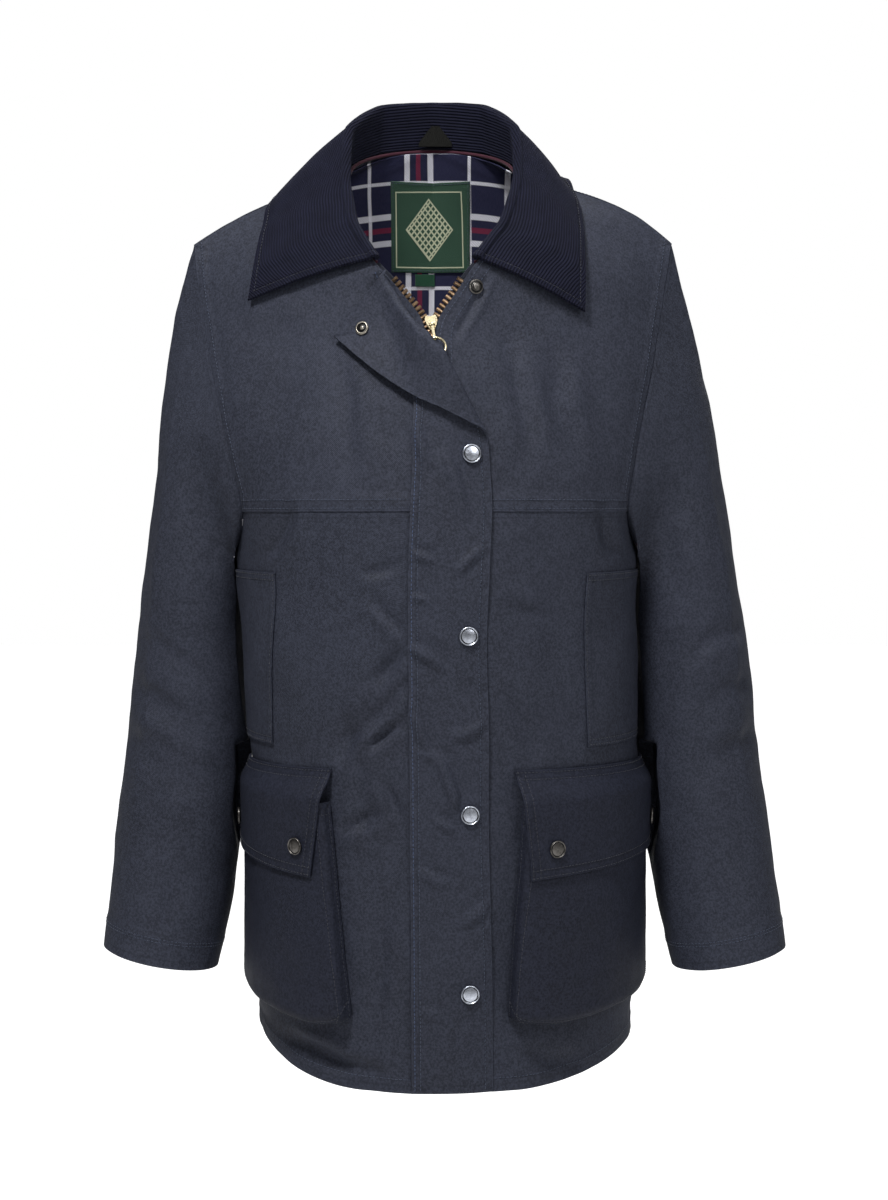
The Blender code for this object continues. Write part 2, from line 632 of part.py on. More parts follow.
def make_pocket_flap(panel, side):
    plan = POCKET[side]
    grid = []
    for down in (1.0, 0.8, 0.6, 0.42, 0.3, 0.2, 0.1, 0.0):
        row = []
        for across in np.linspace(0.0, 1.0, 9):
            front = plan["flap_top"] + (plan["flap_foot"] - plan["flap_top"]) * down
            t = front + (POCKET_SIDE - front) * across
            top = FLAP_TOP[0] + (FLAP_TOP[1] - FLAP_TOP[0]) * across
            foot = FLAP_FOOT[0] + (FLAP_FOOT[1] - FLAP_FOOT[0]) * across
            row.append(panel(t, top + (foot - top) * down, flap_stand(t, down)))
        grid.append(row)
    name = SIDE_NAMES[side]
    grid_wall("pocket_flap_" + name, grid, POCKET_CLOTH, "pocket_wax", side == RIGHT)
    for place, t, z in zip(("front", "side"), POCKET_STUD[side], POCKET_STUD_Z):
        lift = flap_stand(t, (FLAP_TOP[0] - z) / (FLAP_TOP[0] - FLAP_FOOT[0])) + 0.0005
        spot = panel(t, z, lift)
        axis = unit(panel(t, z, lift + 0.01) - spot)
        add_stud(f"stud_pocket_{name}_{place}", spot, axis, FRONT_STUD_RADIUS - 0.0005)


def make_handwarmer(panel, side):
    h = HANDWARMER
    top, foot = HANDWARMER_FRONT[side]
    grid = []
    for share in np.linspace(0.0, 1.0, 8):
        z = h["foot"] + (h["top"] - h["foot"]) * share
        fronts = [foot + (top - foot) * share]
        fronts += [k / COLUMNS for k in range(COLUMNS) if max(top, foot) + 0.005 < k / COLUMNS < h["side"]]
        grid.append([panel(t, z, LINING_CLOTH + 0.0007) for t in fronts + [h["side"]]])
    grid_wall("handwarmer_" + SIDE_NAMES[side], grid, LINING_CLOTH, "wax", side == RIGHT)


def add_stud(name, spot, axis, radius):
    """A domed cap with a rolled rim."""
    profile = (
        (radius * 0.86, 0.0), (radius, 0.0006), (radius, 0.0015),
        (radius * 0.88, 0.0023), (radius * 0.50, 0.0027),
    )
    turned(name, profile, spot, axis, "steel")


def flap_height(x, z, base):
    """How far the middle of the storm flap lies off the fronts at a spot."""
    run = unit(TURN_FOOT - TURN_TOP)
    level = min(max(z, TURN_FOOT[1]), TURN_TOP[1])
    fold = TURN_TOP[0] + run[0] / run[1] * (level - TURN_TOP[1])
    across = ease((x - base) / max(fold - base, 0.012))
    pull = SLIDER_PLACE[1] - 0.026
    stand = FLAP_STAND * math.exp(-(((z - pull) / 0.042) ** 2)) * across
    return FLAP_LIFT + CLOTH / 2 + stand


def turned_back(x, z):
    """Folds the flap's corner over: a flat spot's new X and Z, and its rise."""
    run = unit(TURN_FOOT - TURN_TOP)
    beyond = np.array((-run[1], run[0]))
    offset = np.array((x, z)) - TURN_TOP
    past = float(offset @ beyond) + FLAP_ROLL
    if past <= 0:
        return x, z, 0.0
    angle = min(past / FLAP_ROLL, math.pi)
    rest = past - angle * FLAP_ROLL
    shift = FLAP_ROLL * math.sin(angle) - rest - past
    moved = np.array((x, z)) + beyond * shift
    settle = 1 - 0.35 * ease(rest / 0.06)
    return moved[0], moved[1], FLAP_ROLL * (1 - math.cos(angle)) * settle


def make_storm_flap(tree):
    grid = []
    top = FLAP["z"][-1]
    slant = abs(unit(TURN_FOOT - TURN_TOP)[1])
    for z in np.linspace(FLAP["z"][0], top, FLAP_ROWS):
        base, free = smooth(FLAP["z"], FLAP["base"], z), smooth(FLAP["z"], FLAP["free"], z)
        fold = TURN_TOP[0] + (TURN_FOOT - TURN_TOP)[0] * (z - TURN_TOP[1]) / (TURN_FOOT - TURN_TOP)[1]
        start = min(fold - FLAP_ROLL / slant, free)
        end = min(start + math.pi * FLAP_ROLL / slant, free)
        share = ease((free - start - 0.004) / 0.016)
        row = []
        for j in range(FLAP_COLUMNS + 1):
            even = base + (free - base) * j / FLAP_COLUMNS
            rolled = np.interp(j, (0, 3, 8, FLAP_COLUMNS), (base, start, end, free))
            x = even + (float(rolled) - even) * share
            up = z + 0.014 * (x - base) / (free - base) * ease((z - TURN_FOOT[1]) / (top - TURN_FOOT[1]))
            new_x, new_z, rise = turned_back(x, up)
            spot, normal = on_carrier(tree, new_x, new_z)
            row.append(spot + normal * (flap_height(new_x, new_z, base) + rise))
        grid.append(row)
    return grid_wall("storm_flap", grid, CLOTH, "wax", middle=True)


def tree_of(made):
    mesh = made.data
    return BVHTree.FromPolygons([v.co for v in mesh.vertices], [tuple(p.vertices) for p in mesh.polygons])


def make_front_studs(flap, fronts):
    flap_tree = tree_of(flap)
    for number, (x, z) in enumerate(zip(FLAP_STUDS["x"], FLAP_STUDS["z"]), 1):
        spot, normal = on_carrier(flap_tree, x, z)
        add_stud(f"stud_front_{number}", spot + normal * 0.0007, normal, FRONT_STUD_RADIUS)
    spot, normal = on_carrier(flap_tree, *SOCKET_PLACE)
    socket = ((0.0028, 0.0), (0.0055, 0.0), (0.0055, 0.0008), (0.0040, 0.0018), (0.0028, 0.0018))
    turned("stud_top_socket", socket, spot + normal * 0.0005, normal, "steel", hollow=True)
    add_stud("stud_top_cap", spot - normal * (CLOTH + 0.0010), -normal, 0.0068)
    post = ((0.0058, 0.0), (0.0058, 0.0010), (0.0034, 0.0014), (0.0030, 0.0032), (0.0012, 0.0034))
    spot, normal = on_carrier(fronts, *POST_PLACE)
    turned("stud_top_post", post, spot + normal * 0.0004, normal, "steel")


def neckline(shell, grids):
    """The eleven neckline points, from the right front end round the back to the left."""
    points = {}
    for side in (RIGHT, LEFT):
        front = [shell.points[row[0]] for row in grids["front_" + SIDE_NAMES[side]][V_ROW:]]
        mid = shell.points[grids["back_" + SIDE_NAMES[side]][NECK_ROW + 1][0]]
        points[side] = front + [mid]
    centre = shell.points[grids["back_right"][NECK_ROW][0]]
    return np.array(points[RIGHT] + [centre] + points[LEFT][::-1])


def make_collar(shell, grids):
    """The stand rises from the neckline, rolls over at the fold and falls to the outer edge."""
    tree = BVHTree.FromPolygons([tuple(p) for p in shell.points], shell.quads())
    seam_line = neckline(shell, grids)
    places = np.arange(len(seam_line), dtype=float)
    grid = []
    for at in np.linspace(0, len(seam_line) - 1, COLLAR_STEPS * (len(seam_line) - 1) + 1):
        near = min(int(at + 1e-9), len(seam_line) - 2)
        seam = np.array([smooth(places, seam_line[:, k], at) for k in range(3)])
        chord = seam_line[near] + (seam_line[near + 1] - seam_line[near]) * (at - near)
        seam = (seam + chord) / 2
        edge = np.array([smooth(places, COLLAR[name], at) for name in ("edge_x", "edge_y", "edge_z")])
        rise = smooth(places, COLLAR["rise"], at)
        grid.append(collar_section(tree, seam, edge, rise, at / (len(seam_line) - 1)))
    rest_on(tree, grid, CORDUROY / 2 + COLLAR_REST)
    grid_wall("collar", grid, CORDUROY, "corduroy", flip=True, middle=True)
    return grid


def collar_section(tree, seam, edge, rise, share):
    """The collar's middle line at one station, from the seam to the outer edge."""
    round_back = math.sin(math.pi * share)
    up = unit(np.array((0.0, -0.75 * (1 - round_back), 0.45 + round_back)))
    out = edge - seam
    out = unit(out - up * float(out @ up))
    roll = COLLAR_ROLL
    foot = seam + up * 0.0022
    crest = seam + up * max(rise, 2.2 * roll)
    inner, outer = crest - up * roll - out * roll, crest - up * roll + out * roll
    points = [foot, foot + (inner - foot) * 0.5, inner]
    points += [crest - up * roll + roll * (up * math.sin(a) - out * math.cos(a)) for a in (0.8, 1.57, 2.35)]
    points.append(outer)
    for f in (0.10, 0.25, 0.40, 0.55, 0.70, 0.85, 1.0):
        spot = outer + (edge - outer) * f
        spot = spot + up * 0.004 * math.sin(math.pi * f)
        points.append(laid_on(tree, spot, CORDUROY / 2 + COLLAR_REST))
    return points


def laid_on(tree, spot, least):
    """The spot, lifted where it would lie in the cloth under it or too near it."""
    near, normal, _, _ = tree.find_nearest(Vector(spot))
    near, normal = np.array(near), np.array(normal)
    lift = least - float((spot - near) @ normal)
    return spot + normal * max(lift, 0.0)


def rest_on(tree, grid, least):
    """Lifts the fall until the middles of its faces, and not just their corners, clear the cloth."""
    for _ in range(4):
        for i in range(len(grid) - 1):
            for j in range(FALL_START, len(grid[0]) - 1):
                middle = (grid[i][j] + grid[i + 1][j] + grid[i][j + 1] + grid[i + 1][j + 1]) / 4
                lift = laid_on(tree, middle, least) - middle
                for row in (grid[i], grid[i + 1]):
                    row[j] = row[j] + lift
                    row[j + 1] = row[j + 1] + lift


def make_zip(shell, grids, tree):
    """A tape behind each front edge, the slider at the foot of the V, and its pull."""
    for side in (RIGHT, LEFT):
        grid = []
        for row in grids["front_" + SIDE_NAMES[side]][:V_ROW + 1]:
            edge, beside = shell.points[row[0]], shell.points[row[1]]
            back = edge - shell.normals[row[0]] * (CLOTH + 0.0005)
            inward = unit(beside - edge)
            grid.append([back + inward * away for away in (0.012, 0.004, -TAPE_REACH)])
        grid[0] = [point + np.array((0.0, 0.0, 0.004)) for point in grid[0]]
        grid_wall("zip_tape_" + SIDE_NAMES[side], grid, 0.0009, "tape", side == LEFT)
    pull = PullFrame(tree)
    make_slider(pull)
    make_pull_tab(pull)
    make_pull_ring(pull)


class PullFrame:
    """The slider's own axes: across it, out from the jacket, and up along the zip, which leans a little."""

    def __init__(self, tree):
        x, z = SLIDER_PLACE
        self.origin, normal = on_carrier(tree, x, z)
        foot, _ = on_carrier(tree, x + 0.030 * math.sin(PULL_LEAN), z - 0.030)
        self.up = unit(self.origin - foot)
        self.out = unit(normal - self.up * float(normal @ self.up))
        self.across = np.cross(-self.out, self.up)

    def at(self, across, out, up):
        return self.origin + self.across * across + self.out * out + self.up * up


def prism(name, outline, place, start, end, finish):
    """An outline pushed from start to end, where place(a, b, depth) gives a point."""
    count = len(outline)
    ring = [place(a, b, start) for a, b in outline]
    facing = sum(np.cross(ring[k - 1], ring[k]) for k in range(count))
    if float(facing @ (place(0.0, 0.0, end) - place(0.0, 0.0, start))) < 0:
        outline = outline[::-1]
    points = [place(a, b, depth) for depth in (start, end) for a, b in outline]
    faces = [tuple(reversed(range(count))), tuple(range(count, 2 * count))]
    faces += [(k, (k + 1) % count, (k + 1) % count + count, k + count) for k in range(count)]
    return add_object(name, points, faces, finish)


def circle(radius, sides, a=0.0, b=0.0, first=0.0):
    angles = (first + 2 * math.pi * k / sides for k in range(sides))
    return [(a + radius * math.cos(angle), b + radius * math.sin(angle)) for angle in angles]


def combine(target, other, operation):
    """A Boolean of the two, whose helper stays hidden."""
    other.hide_render = True
    other.display_type = "WIRE"
    change = target.modifiers.new(other.name, "BOOLEAN")
    change.operation = operation
    change.object = other


def make_slider(pull):
    """A heart-shaped plate, with a bar across two lugs that carries the pull."""
    half = (
        (0.0, -0.0078), (0.0032, -0.0045), (0.0062, 0.0010),
        (0.0064, 0.0048), (0.0036, 0.0072), (0.0, 0.0056),
    )
    outline = list(half) + [(-a, b) for a, b in half[-2:0:-1]]
    face = SLIDER_SEAT + SLIDER_PLATE
    plate = prism("zip_slider", outline, lambda a, b, d: pull.at(a, d, b), SLIDER_SEAT, face, "gold")

    def across(a, b, depth):
        return pull.at(depth, face + EYE_STAND + a, PULL_PIVOT + b)

    bar = prism("slider_bar", circle(0.0008, 10), across, -0.0034, 0.0034, "gold")
    combine(plate, bar, "UNION")
    for sign in (-1, 1):
        foot = -EYE_STAND - 0.0006
        lug = [(foot, -0.0012), (0.0010, -0.0012), (0.0010, 0.0012), (foot, 0.0012)]
        ends = sorted((sign * 0.0023, sign * 0.0035))
        combine(plate, prism(f"slider_lug_{sign}", lug, across, *ends, "gold"), "UNION")


def make_pull_tab(pull):
    """A short link with an eye at each end: one round the slider's bar, one round the ring."""
    out = SLIDER_SEAT + SLIDER_PLATE + EYE_STAND

    def across(a, b, depth):
        return pull.at(depth, out + a, PULL_PIVOT + b)

    neck = 0.0010
    gap = math.asin(neck / EYE_RADIUS)
    angles = np.linspace(gap - math.pi / 2, 1.5 * math.pi - gap, 14)
    upper = [(EYE_RADIUS * math.cos(angle), EYE_RADIUS * math.sin(angle)) for angle in angles]
    outline = upper + [(-a, -TAB_LENGTH - b) for a, b in upper]
    tab = prism("zip_pull_tab", outline, across, -TAB_WIDTH / 2, TAB_WIDTH / 2, "gold")
    for name, b, radius in (("tab_top_hole", 0.0, 0.0011), ("tab_foot_hole", -TAB_LENGTH, 0.0014)):
        hole = prism(name, circle(radius, 12, b=b), across, -TAB_WIDTH, TAB_WIDTH, "gold")
        combine(tab, hole, "DIFFERENCE")


def make_pull_ring(pull):
    out = SLIDER_SEAT + SLIDER_PLATE + EYE_STAND
    middle = pull.at(0.0, out, PULL_PIVOT - TAB_LENGTH - RING_RADIUS)
    points, faces, sides, steps = [], [], 6, 24
    for k in range(steps):
        angle = 2 * math.pi * k / steps
        way = pull.across * math.sin(angle) + pull.up * math.cos(angle)
        for j in range(sides):
            turn = 2 * math.pi * j / sides
            away = RING_RADIUS + RING_WIRE * math.cos(turn)
            points.append(middle + way * away + pull.out * RING_WIRE * math.sin(turn))
            n, m = (k + 1) % steps, (j + 1) % sides
            faces.append((k * sides + j, k * sides + m, n * sides + m, n * sides + j))
    return add_object("zip_pull_ring", points, faces, "gold")


def make_lining(shell):
    """The lining inside the upper back, as far down as the neck opening shows it."""
    inside = shell.points - shell.wall_normals("back") * CLOTH
    normals = vertex_normals(inside, shell.panels["back"])
    points = inside - normals * 0.0010
    quads = [quad for quad in shell.panels["back"] if min(points[i][2] for i in quad) > LINING_FOOT]
    made = add_wall("back_lining", points, quads, normals, LINING_CLOTH, "lining", gap=0.0015)
    tree = tree_of(made)
    for name, plan, thickness in (("neck_label", LABEL, 0.0010), ("size_tab", SIZE_TAB, 0.0008)):
        grid = []
        for z in np.linspace(*plan["z"], 5):
            row = []
            for x in np.linspace(*plan["x"], 4):
                spot, normal, _, _ = tree.ray_cast(Vector((x, 0.0, z)), Vector((0.0, 1.0, 0.0)))
                row.append(np.array(spot) + np.array(normal) * (thickness + 0.0004))
            grid.append(row)
        grid_wall(name, grid, thickness, "label")


def make_hanger_loop(collar_grid):
    """A loop of tape, folded to a triangle against the stand."""
    station = collar_grid[len(collar_grid) // 2]
    face = min(point[1] for point in station[:3]) - CORDUROY / 2 - 0.0036
    x, z, half = LOOP["x"], LOOP["z"], LOOP["width"] / 2
    left = [(-half, 0.0), (-half, 0.004), (-0.0035, LOOP["height"])]
    outline = left + [(-a, b) for a, b in left[::-1]]
    prism("hanger_loop", outline, lambda a, b, d: np.array((x + a, face - d, z + b)), 0.0, 0.0012, "loop")


def main():
    for old in list(bpy.data.objects):
        bpy.data.objects.remove(old, do_unlink=True)
    shell, grids = make_shell()
    make_panels(shell)
    tree = carrier(shell, grids)
    for side in (RIGHT, LEFT):
        panel = FrontPanel(shell, grids, side)
        make_pocket(panel, side)
        make_pocket_flap(panel, side)
        make_handwarmer(panel, side)
    flap = make_storm_flap(tree)
    make_front_studs(flap, tree)
    make_hanger_loop(make_collar(shell, grids))
    make_lining(shell)
    make_zip(shell, grids, tree)


main()
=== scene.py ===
"""The looks of a waxed cotton jacket: its cloth, corduroy, lining, zip, press studs and stitching.

Metres, in the frame's own axes: +X is the wearer's left, -Y the front and +Z up. The panels follow the
same tables as the frame's solids and are drawn out finely, with their folds, seams and finishes.
"""

import json
import math
from functools import cache, partialmethod
from itertools import product

import bmesh
import bpy
import numpy as np
from bpy.props import FloatProperty, FloatVectorProperty, PointerProperty
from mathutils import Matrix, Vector
from mathutils.bvhtree import BVHTree

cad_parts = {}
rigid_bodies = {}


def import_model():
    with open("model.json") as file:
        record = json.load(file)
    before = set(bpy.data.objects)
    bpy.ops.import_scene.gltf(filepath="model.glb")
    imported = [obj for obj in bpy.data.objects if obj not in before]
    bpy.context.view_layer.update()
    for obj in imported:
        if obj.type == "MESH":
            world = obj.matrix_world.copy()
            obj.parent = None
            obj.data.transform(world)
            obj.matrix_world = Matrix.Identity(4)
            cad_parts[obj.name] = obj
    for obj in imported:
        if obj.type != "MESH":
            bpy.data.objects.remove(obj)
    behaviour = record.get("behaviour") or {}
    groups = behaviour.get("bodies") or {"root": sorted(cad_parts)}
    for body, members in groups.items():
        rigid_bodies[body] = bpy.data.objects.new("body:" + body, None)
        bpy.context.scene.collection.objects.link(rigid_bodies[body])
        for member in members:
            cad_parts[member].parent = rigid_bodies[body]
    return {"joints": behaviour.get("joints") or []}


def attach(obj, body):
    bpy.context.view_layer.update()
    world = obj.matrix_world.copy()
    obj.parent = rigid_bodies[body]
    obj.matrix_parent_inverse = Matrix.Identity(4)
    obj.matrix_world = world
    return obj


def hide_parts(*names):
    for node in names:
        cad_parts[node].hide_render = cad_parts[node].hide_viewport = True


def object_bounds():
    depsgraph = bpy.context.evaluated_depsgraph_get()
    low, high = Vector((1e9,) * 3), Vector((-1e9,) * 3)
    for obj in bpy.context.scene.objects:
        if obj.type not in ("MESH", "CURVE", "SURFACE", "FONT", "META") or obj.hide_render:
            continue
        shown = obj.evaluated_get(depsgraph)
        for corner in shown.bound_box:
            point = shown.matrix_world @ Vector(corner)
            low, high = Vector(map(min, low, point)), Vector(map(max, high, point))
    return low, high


bl_info = {
    "name": "Waxed Cotton Jacket",
    "version": (1, 0, 0),
    "blender": (4, 5, 0),
    "location": "3D View > Sidebar > Jacket",
    "description": "Builds the cloth, trim and stitching of a waxed cotton jacket over its frame",
    "category": "Object",
}

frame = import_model()
CAD_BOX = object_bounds()

RIGHT, LEFT = -1, 1  # the wearer's sides, as signs of X
SIDE_NAMES = {RIGHT: "right", LEFT: "left"}

CLOTH = 0.0020  # waxed cotton and its lining, as one wall
POCKET_CLOTH = 0.0016
LINING_CLOTH = 0.0010
CORDUROY = 0.0030
COLUMNS = 11  # columns of a panel's table, which DETAIL multiplies
DETAIL = 8
SIDE_Y = -0.010  # where the side seams lie
ARM_TILT = math.radians(8.0)
FRONT_STUD_RADIUS = 0.0075


def table(names, *rows):
    """A table with named columns: each name gives the array of that column."""
    return {name: np.array(column, float) for name, column in zip(names.split(), zip(*rows))}


# The body below the armholes, by level: half its width, where its front and back lie, and how far its
# middle stands to the wearer's left of the origin.
BODY = table(
    "z half_width front back shift",
    (-0.724, 0.1590, -0.1480, 0.1300, 0.0010),
    (-0.640, 0.1600, -0.1490, 0.1240, 0.0010),
    (-0.550, 0.1612, -0.1490, 0.1150, 0.0012),
    (-0.470, 0.1635, -0.1490, 0.1080, 0.0010),
    (-0.400, 0.1660, -0.1485, 0.1060, -0.0030),
    (-0.340, 0.1660, -0.1475, 0.1100, -0.0055),
    (-0.295, 0.1690, -0.1460, 0.1130, -0.0062),
    (-0.200, 0.1700, -0.1400, 0.1200, -0.0095),
    (-0.120, 0.1900, -0.1200, 0.1150, -0.0100),
    (0.050, 0.1900, -0.1000, 0.0700, -0.0100),
)
LEVELS = (
    -0.724, -0.701, -0.675, -0.645, -0.610, -0.575, -0.545,
    -0.510, -0.475, -0.440, -0.405, -0.370, -0.340,
)
FRONT_EDGE = {RIGHT: -0.0145, LEFT: -0.0075}  # X of the two edges that the zip joins
HEM_RISE = {RIGHT: 0.029, LEFT: 0.021}  # how much higher the hem is at each side seam
HEM_FLAT = 0.25  # the part of the hem beside the middle that stays level
HEM_FADE = -0.610  # above this level rows are level

# The rows of each front above LEVELS, from the armpit to the shoulder seam. A row runs from the front
# edge or neckline (in) to the armhole (out, from the body's middle). flat turns the row from a quarter
# ellipse (0) to a straight line (1), and swell raises its middle.
FRONT_ROWS = table(
    "in_z in_y in_right in_left out_z out_y out_x flat swell",
    (-0.315, -0.1468, -0.0145, -0.0075, -0.295, -0.004, 0.1700, 0.00, 0.000),
    (-0.288, -0.1463, -0.0145, -0.0075, -0.286, -0.040, 0.1625, 0.12, 0.000),
    (-0.260, -0.1450, -0.0145, -0.0075, -0.262, -0.066, 0.1570, 0.30, 0.000),
    (-0.222, -0.1415, -0.0145, -0.0075, -0.230, -0.066, 0.1630, 0.36, 0.000),
    (-0.182, -0.1350, -0.0145, -0.0075, -0.196, -0.058, 0.1705, 0.42, 0.000),
    (-0.145, -0.1260, -0.0145, -0.0075, -0.164, -0.047, 0.1775, 0.50, 0.000),
    (-0.114, -0.1150, -0.0160, -0.0060, -0.135, -0.036, 0.1835, 0.58, 0.001),
    (-0.088, -0.1070, -0.0345, 0.0100, -0.109, -0.026, 0.1885, 0.66, 0.002),
    (-0.064, -0.1000, -0.0550, 0.0260, -0.087, -0.017, 0.1925, 0.75, 0.003),
    (-0.036, -0.0660, -0.0735, 0.0480, -0.068, -0.009, 0.1965, 0.84, 0.006),
    (-0.004, -0.0270, -0.0815, 0.0610, -0.053, -0.004, 0.1990, 0.92, 0.009),
    (0.024, 0.0100, -0.0800, 0.0600, -0.041, 0.000, 0.2005, 1.00, 0.0095),
)
SWELL = {RIGHT: 0.4, LEFT: 1.0}  # the garment hangs a little lower on the wearer's right shoulder
YOKE_ROW = len(LEVELS) + 2  # the seam across the chest
V_ROW = len(LEVELS) + 8  # the top corners of the front opening

# The same for each half of the back, from the centre back or neckline (in, from the neck's middle).
BACK_ROWS = table(
    "in_z in_y in_x out_z out_y out_x flat swell",
    (-0.315, 0.1130, 0.0000, -0.295, -0.004, 0.1700, 0.00, 0.000),
    (-0.285, 0.1165, 0.0000, -0.285, 0.030, 0.1640, 0.12, 0.000),
    (-0.250, 0.1190, 0.0000, -0.262, 0.056, 0.1620, 0.25, 0.000),
    (-0.210, 0.1200, 0.0000, -0.228, 0.068, 0.1680, 0.33, 0.000),
    (-0.168, 0.1190, 0.0000, -0.192, 0.068, 0.1750, 0.40, 0.000),
    (-0.125, 0.1155, 0.0000, -0.158, 0.062, 0.1820, 0.48, 0.000),
    (-0.082, 0.1090, 0.0000, -0.128, 0.052, 0.1880, 0.56, 0.001),
    (-0.038, 0.0990, 0.0000, -0.101, 0.041, 0.1925, 0.64, 0.002),
    (0.006, 0.0860, 0.0000, -0.080, 0.030, 0.1960, 0.73, 0.003),
    (0.0465, 0.0700, 0.0000, -0.063, 0.019, 0.1985, 0.82, 0.006),
    (0.040, 0.0500, 0.0450, -0.050, 0.009, 0.2000, 0.91, 0.009),
    (0.024, 0.0100, 0.0700, -0.041, 0.000, 0.2005, 1.00, 0.0095),
)
NECK_MIDDLE = -0.010  # X of the centre back at the neck
NECK_ROW = len(LEVELS) + 9  # where the back's centre line ends at the neck

# The sleeves below the armpit, by the level of each section's middle: how far its outer and inner sides
# lie from the middle of the body, where its middle stands from front to back, and half its depth.
SLEEVE = table(
    "z outer inner y half_depth shift",
    (-0.335, 0.2551, 0.1600, 0.0180, 0.0640, -0.0030),
    (-0.400, 0.2635, 0.1610, 0.0160, 0.0630, -0.0018),
    (-0.470, 0.2706, 0.1640, 0.0100, 0.0600, -0.0020),
    (-0.520, 0.2766, 0.1700, 0.0020, 0.0565, -0.0012),
    (-0.560, 0.2805, 0.1775, -0.0060, 0.0530, -0.0004),
    (-0.600, 0.2842, 0.1845, -0.0160, 0.0495, 0.0002),
    (-0.637, 0.2880, 0.1925, -0.0260, 0.0480, 0.0006),
)
HEAD_RINGS = 7  # rings between the armhole and the first section
ARM_RINGS = 11  # rings from the first section to the cuff
BODY_CLEARANCE = 0.0040  # what a sleeve keeps to the body beside it
CLEARANCE_EASE = 0.010  # over what height below the armpit it sets in
POCKET_CLEARANCE = 0.0020  # what it keeps to a pocket
STUD_CLEARANCE = (0.0042, 0.030)  # what a pocket flap's stud adds to that, and over what height
CUFF_DROP = 0.0050  # how much lower the cuff's inner side is cut, beyond the sleeve's tilt
CUFF_START = -0.560
LEAVING = (0.31, 0.62)  # how far out the cloth leaves the armhole, for each unit down: at its top and foot

# The largest folds: a soft trough from one point to another, seen from the front (-1) or back (1).
FOLDS = table(
    "face x1 z1 x2 z2 width depth",
    (-1, -0.075, -0.290, -0.095, -0.450, 0.016, 0.0025),
    (-1, 0.080, -0.250, 0.095, -0.430, 0.017, 0.0025),
    (-1, -0.045, -0.340, -0.040, -0.640, 0.013, 0.0020),
    (-1, -0.125, -0.150, -0.150, -0.235, 0.016, 0.0030),
    (-1, 0.115, -0.145, 0.135, -0.235, 0.016, 0.0030),
    (-1, 0.055, -0.560, 0.040, -0.722, 0.014, 0.0030),
    (-1, -0.120, -0.690, -0.060, -0.722, 0.016, 0.0030),
    (1, -0.065, -0.330, -0.080, -0.722, 0.022, 0.0050),
    (1, 0.060, -0.380, 0.070, -0.722, 0.022, 0.0050),
    (1, -0.005, -0.450, 0.005, -0.722, 0.020, 0.0030),
    (1, -0.150, -0.150, -0.120, -0.290, 0.018, 0.0040),
    (1, 0.130, -0.150, 0.100, -0.290, 0.018, 0.0040),
    (-1, -0.275, -0.400, -0.215, -0.445, 0.012, 0.0035),
    (-1, -0.280, -0.450, -0.220, -0.485, 0.012, 0.0035),
    (-1, 0.275, -0.395, 0.215, -0.440, 0.012, 0.0035),
    (-1, 0.280, -0.448, 0.220, -0.480, 0.012, 0.0035),
    (1, -0.270, -0.410, -0.200, -0.380, 0.013, 0.0030),
    (1, 0.270, -0.410, 0.200, -0.380, 0.013, 0.0030),
)

# The collar by the eleven neckline points, from the right front end round the back to the left: how
# high its fold stands over the seam, and where its outer edge lies.
COLLAR = table(
    "rise edge_x edge_y edge_z",
    (0.0075, -0.1597, -0.0600, -0.0920),
    (0.0095, -0.1562, -0.0540, -0.0670),
    (0.0175, -0.1508, -0.0330, -0.0332),
    (0.0340, -0.1420, -0.0020, -0.0040),
    (0.0420, -0.1000, 0.0780, 0.0080),
    (0.0410, -0.0100, 0.1110, 0.0170),
    (0.0420, 0.0725, 0.0780, 0.0080),
    (0.0340, 0.1078, -0.0020, -0.0015),
    (0.0175, 0.1150, -0.0390, -0.0329),
    (0.0095, 0.1150, -0.0665, -0.0694),
    (0.0075, 0.1138, -0.0775, -0.1023),
)
COLLAR_STEPS = 3  # stations from one neckline point to the next
COLLAR_ROLL = 0.0032  # radius of the fold's middle line
COLLAR_REST = 0.0030  # gap between the fall and the cloth under it
FALL_START = 7  # of a station's points, the first on the fall

# The storm flap lying flat, by level: its sewn edge and its free edge.
FLAP = table(
    "z base free",
    (-0.7235, -0.0257, 0.0390),
    (-0.600, -0.0262, 0.0370),
    (-0.500, -0.0268, 0.0351),
    (-0.427, -0.0273, 0.0351),
    (-0.369, -0.0280, 0.0335),
    (-0.302, -0.0280, 0.0358),
    (-0.257, -0.0262, 0.0374),
    (-0.205, -0.0240, 0.0345),
    (-0.168, -0.0245, 0.0345),
    (-0.129, -0.0345, 0.0325),
    (-0.100, -0.0445, 0.0270),
    (-0.074, -0.0560, 0.0200),
)
FLAP_ROWS = 34
FLAP_COLUMNS = 12
FLAP_LIFT = 0.0008  # gap between the flap and the fronts
FLAP_STAND = 0.0158  # how far it stands off the zip's pull
FLAP_SLANT = 0.014  # how much higher its top edge is at the free edge
FLAP_ROLL = 0.0034  # radius of the turned-back fold's middle line
TURN_TOP = np.array((-0.0476, -0.0726))  # the fold's two ends, X and Z
TURN_FOOT = np.array((0.0334, -0.2045))
FLAP_STUDS = table("x z", (0.0215, -0.2165), (0.0192, -0.3590), (0.0205, -0.5000), (0.0205, -0.6430))
SOCKET_PLACE = (-0.0640, -0.1180)
POST_PLACE = (0.0250, -0.0840)

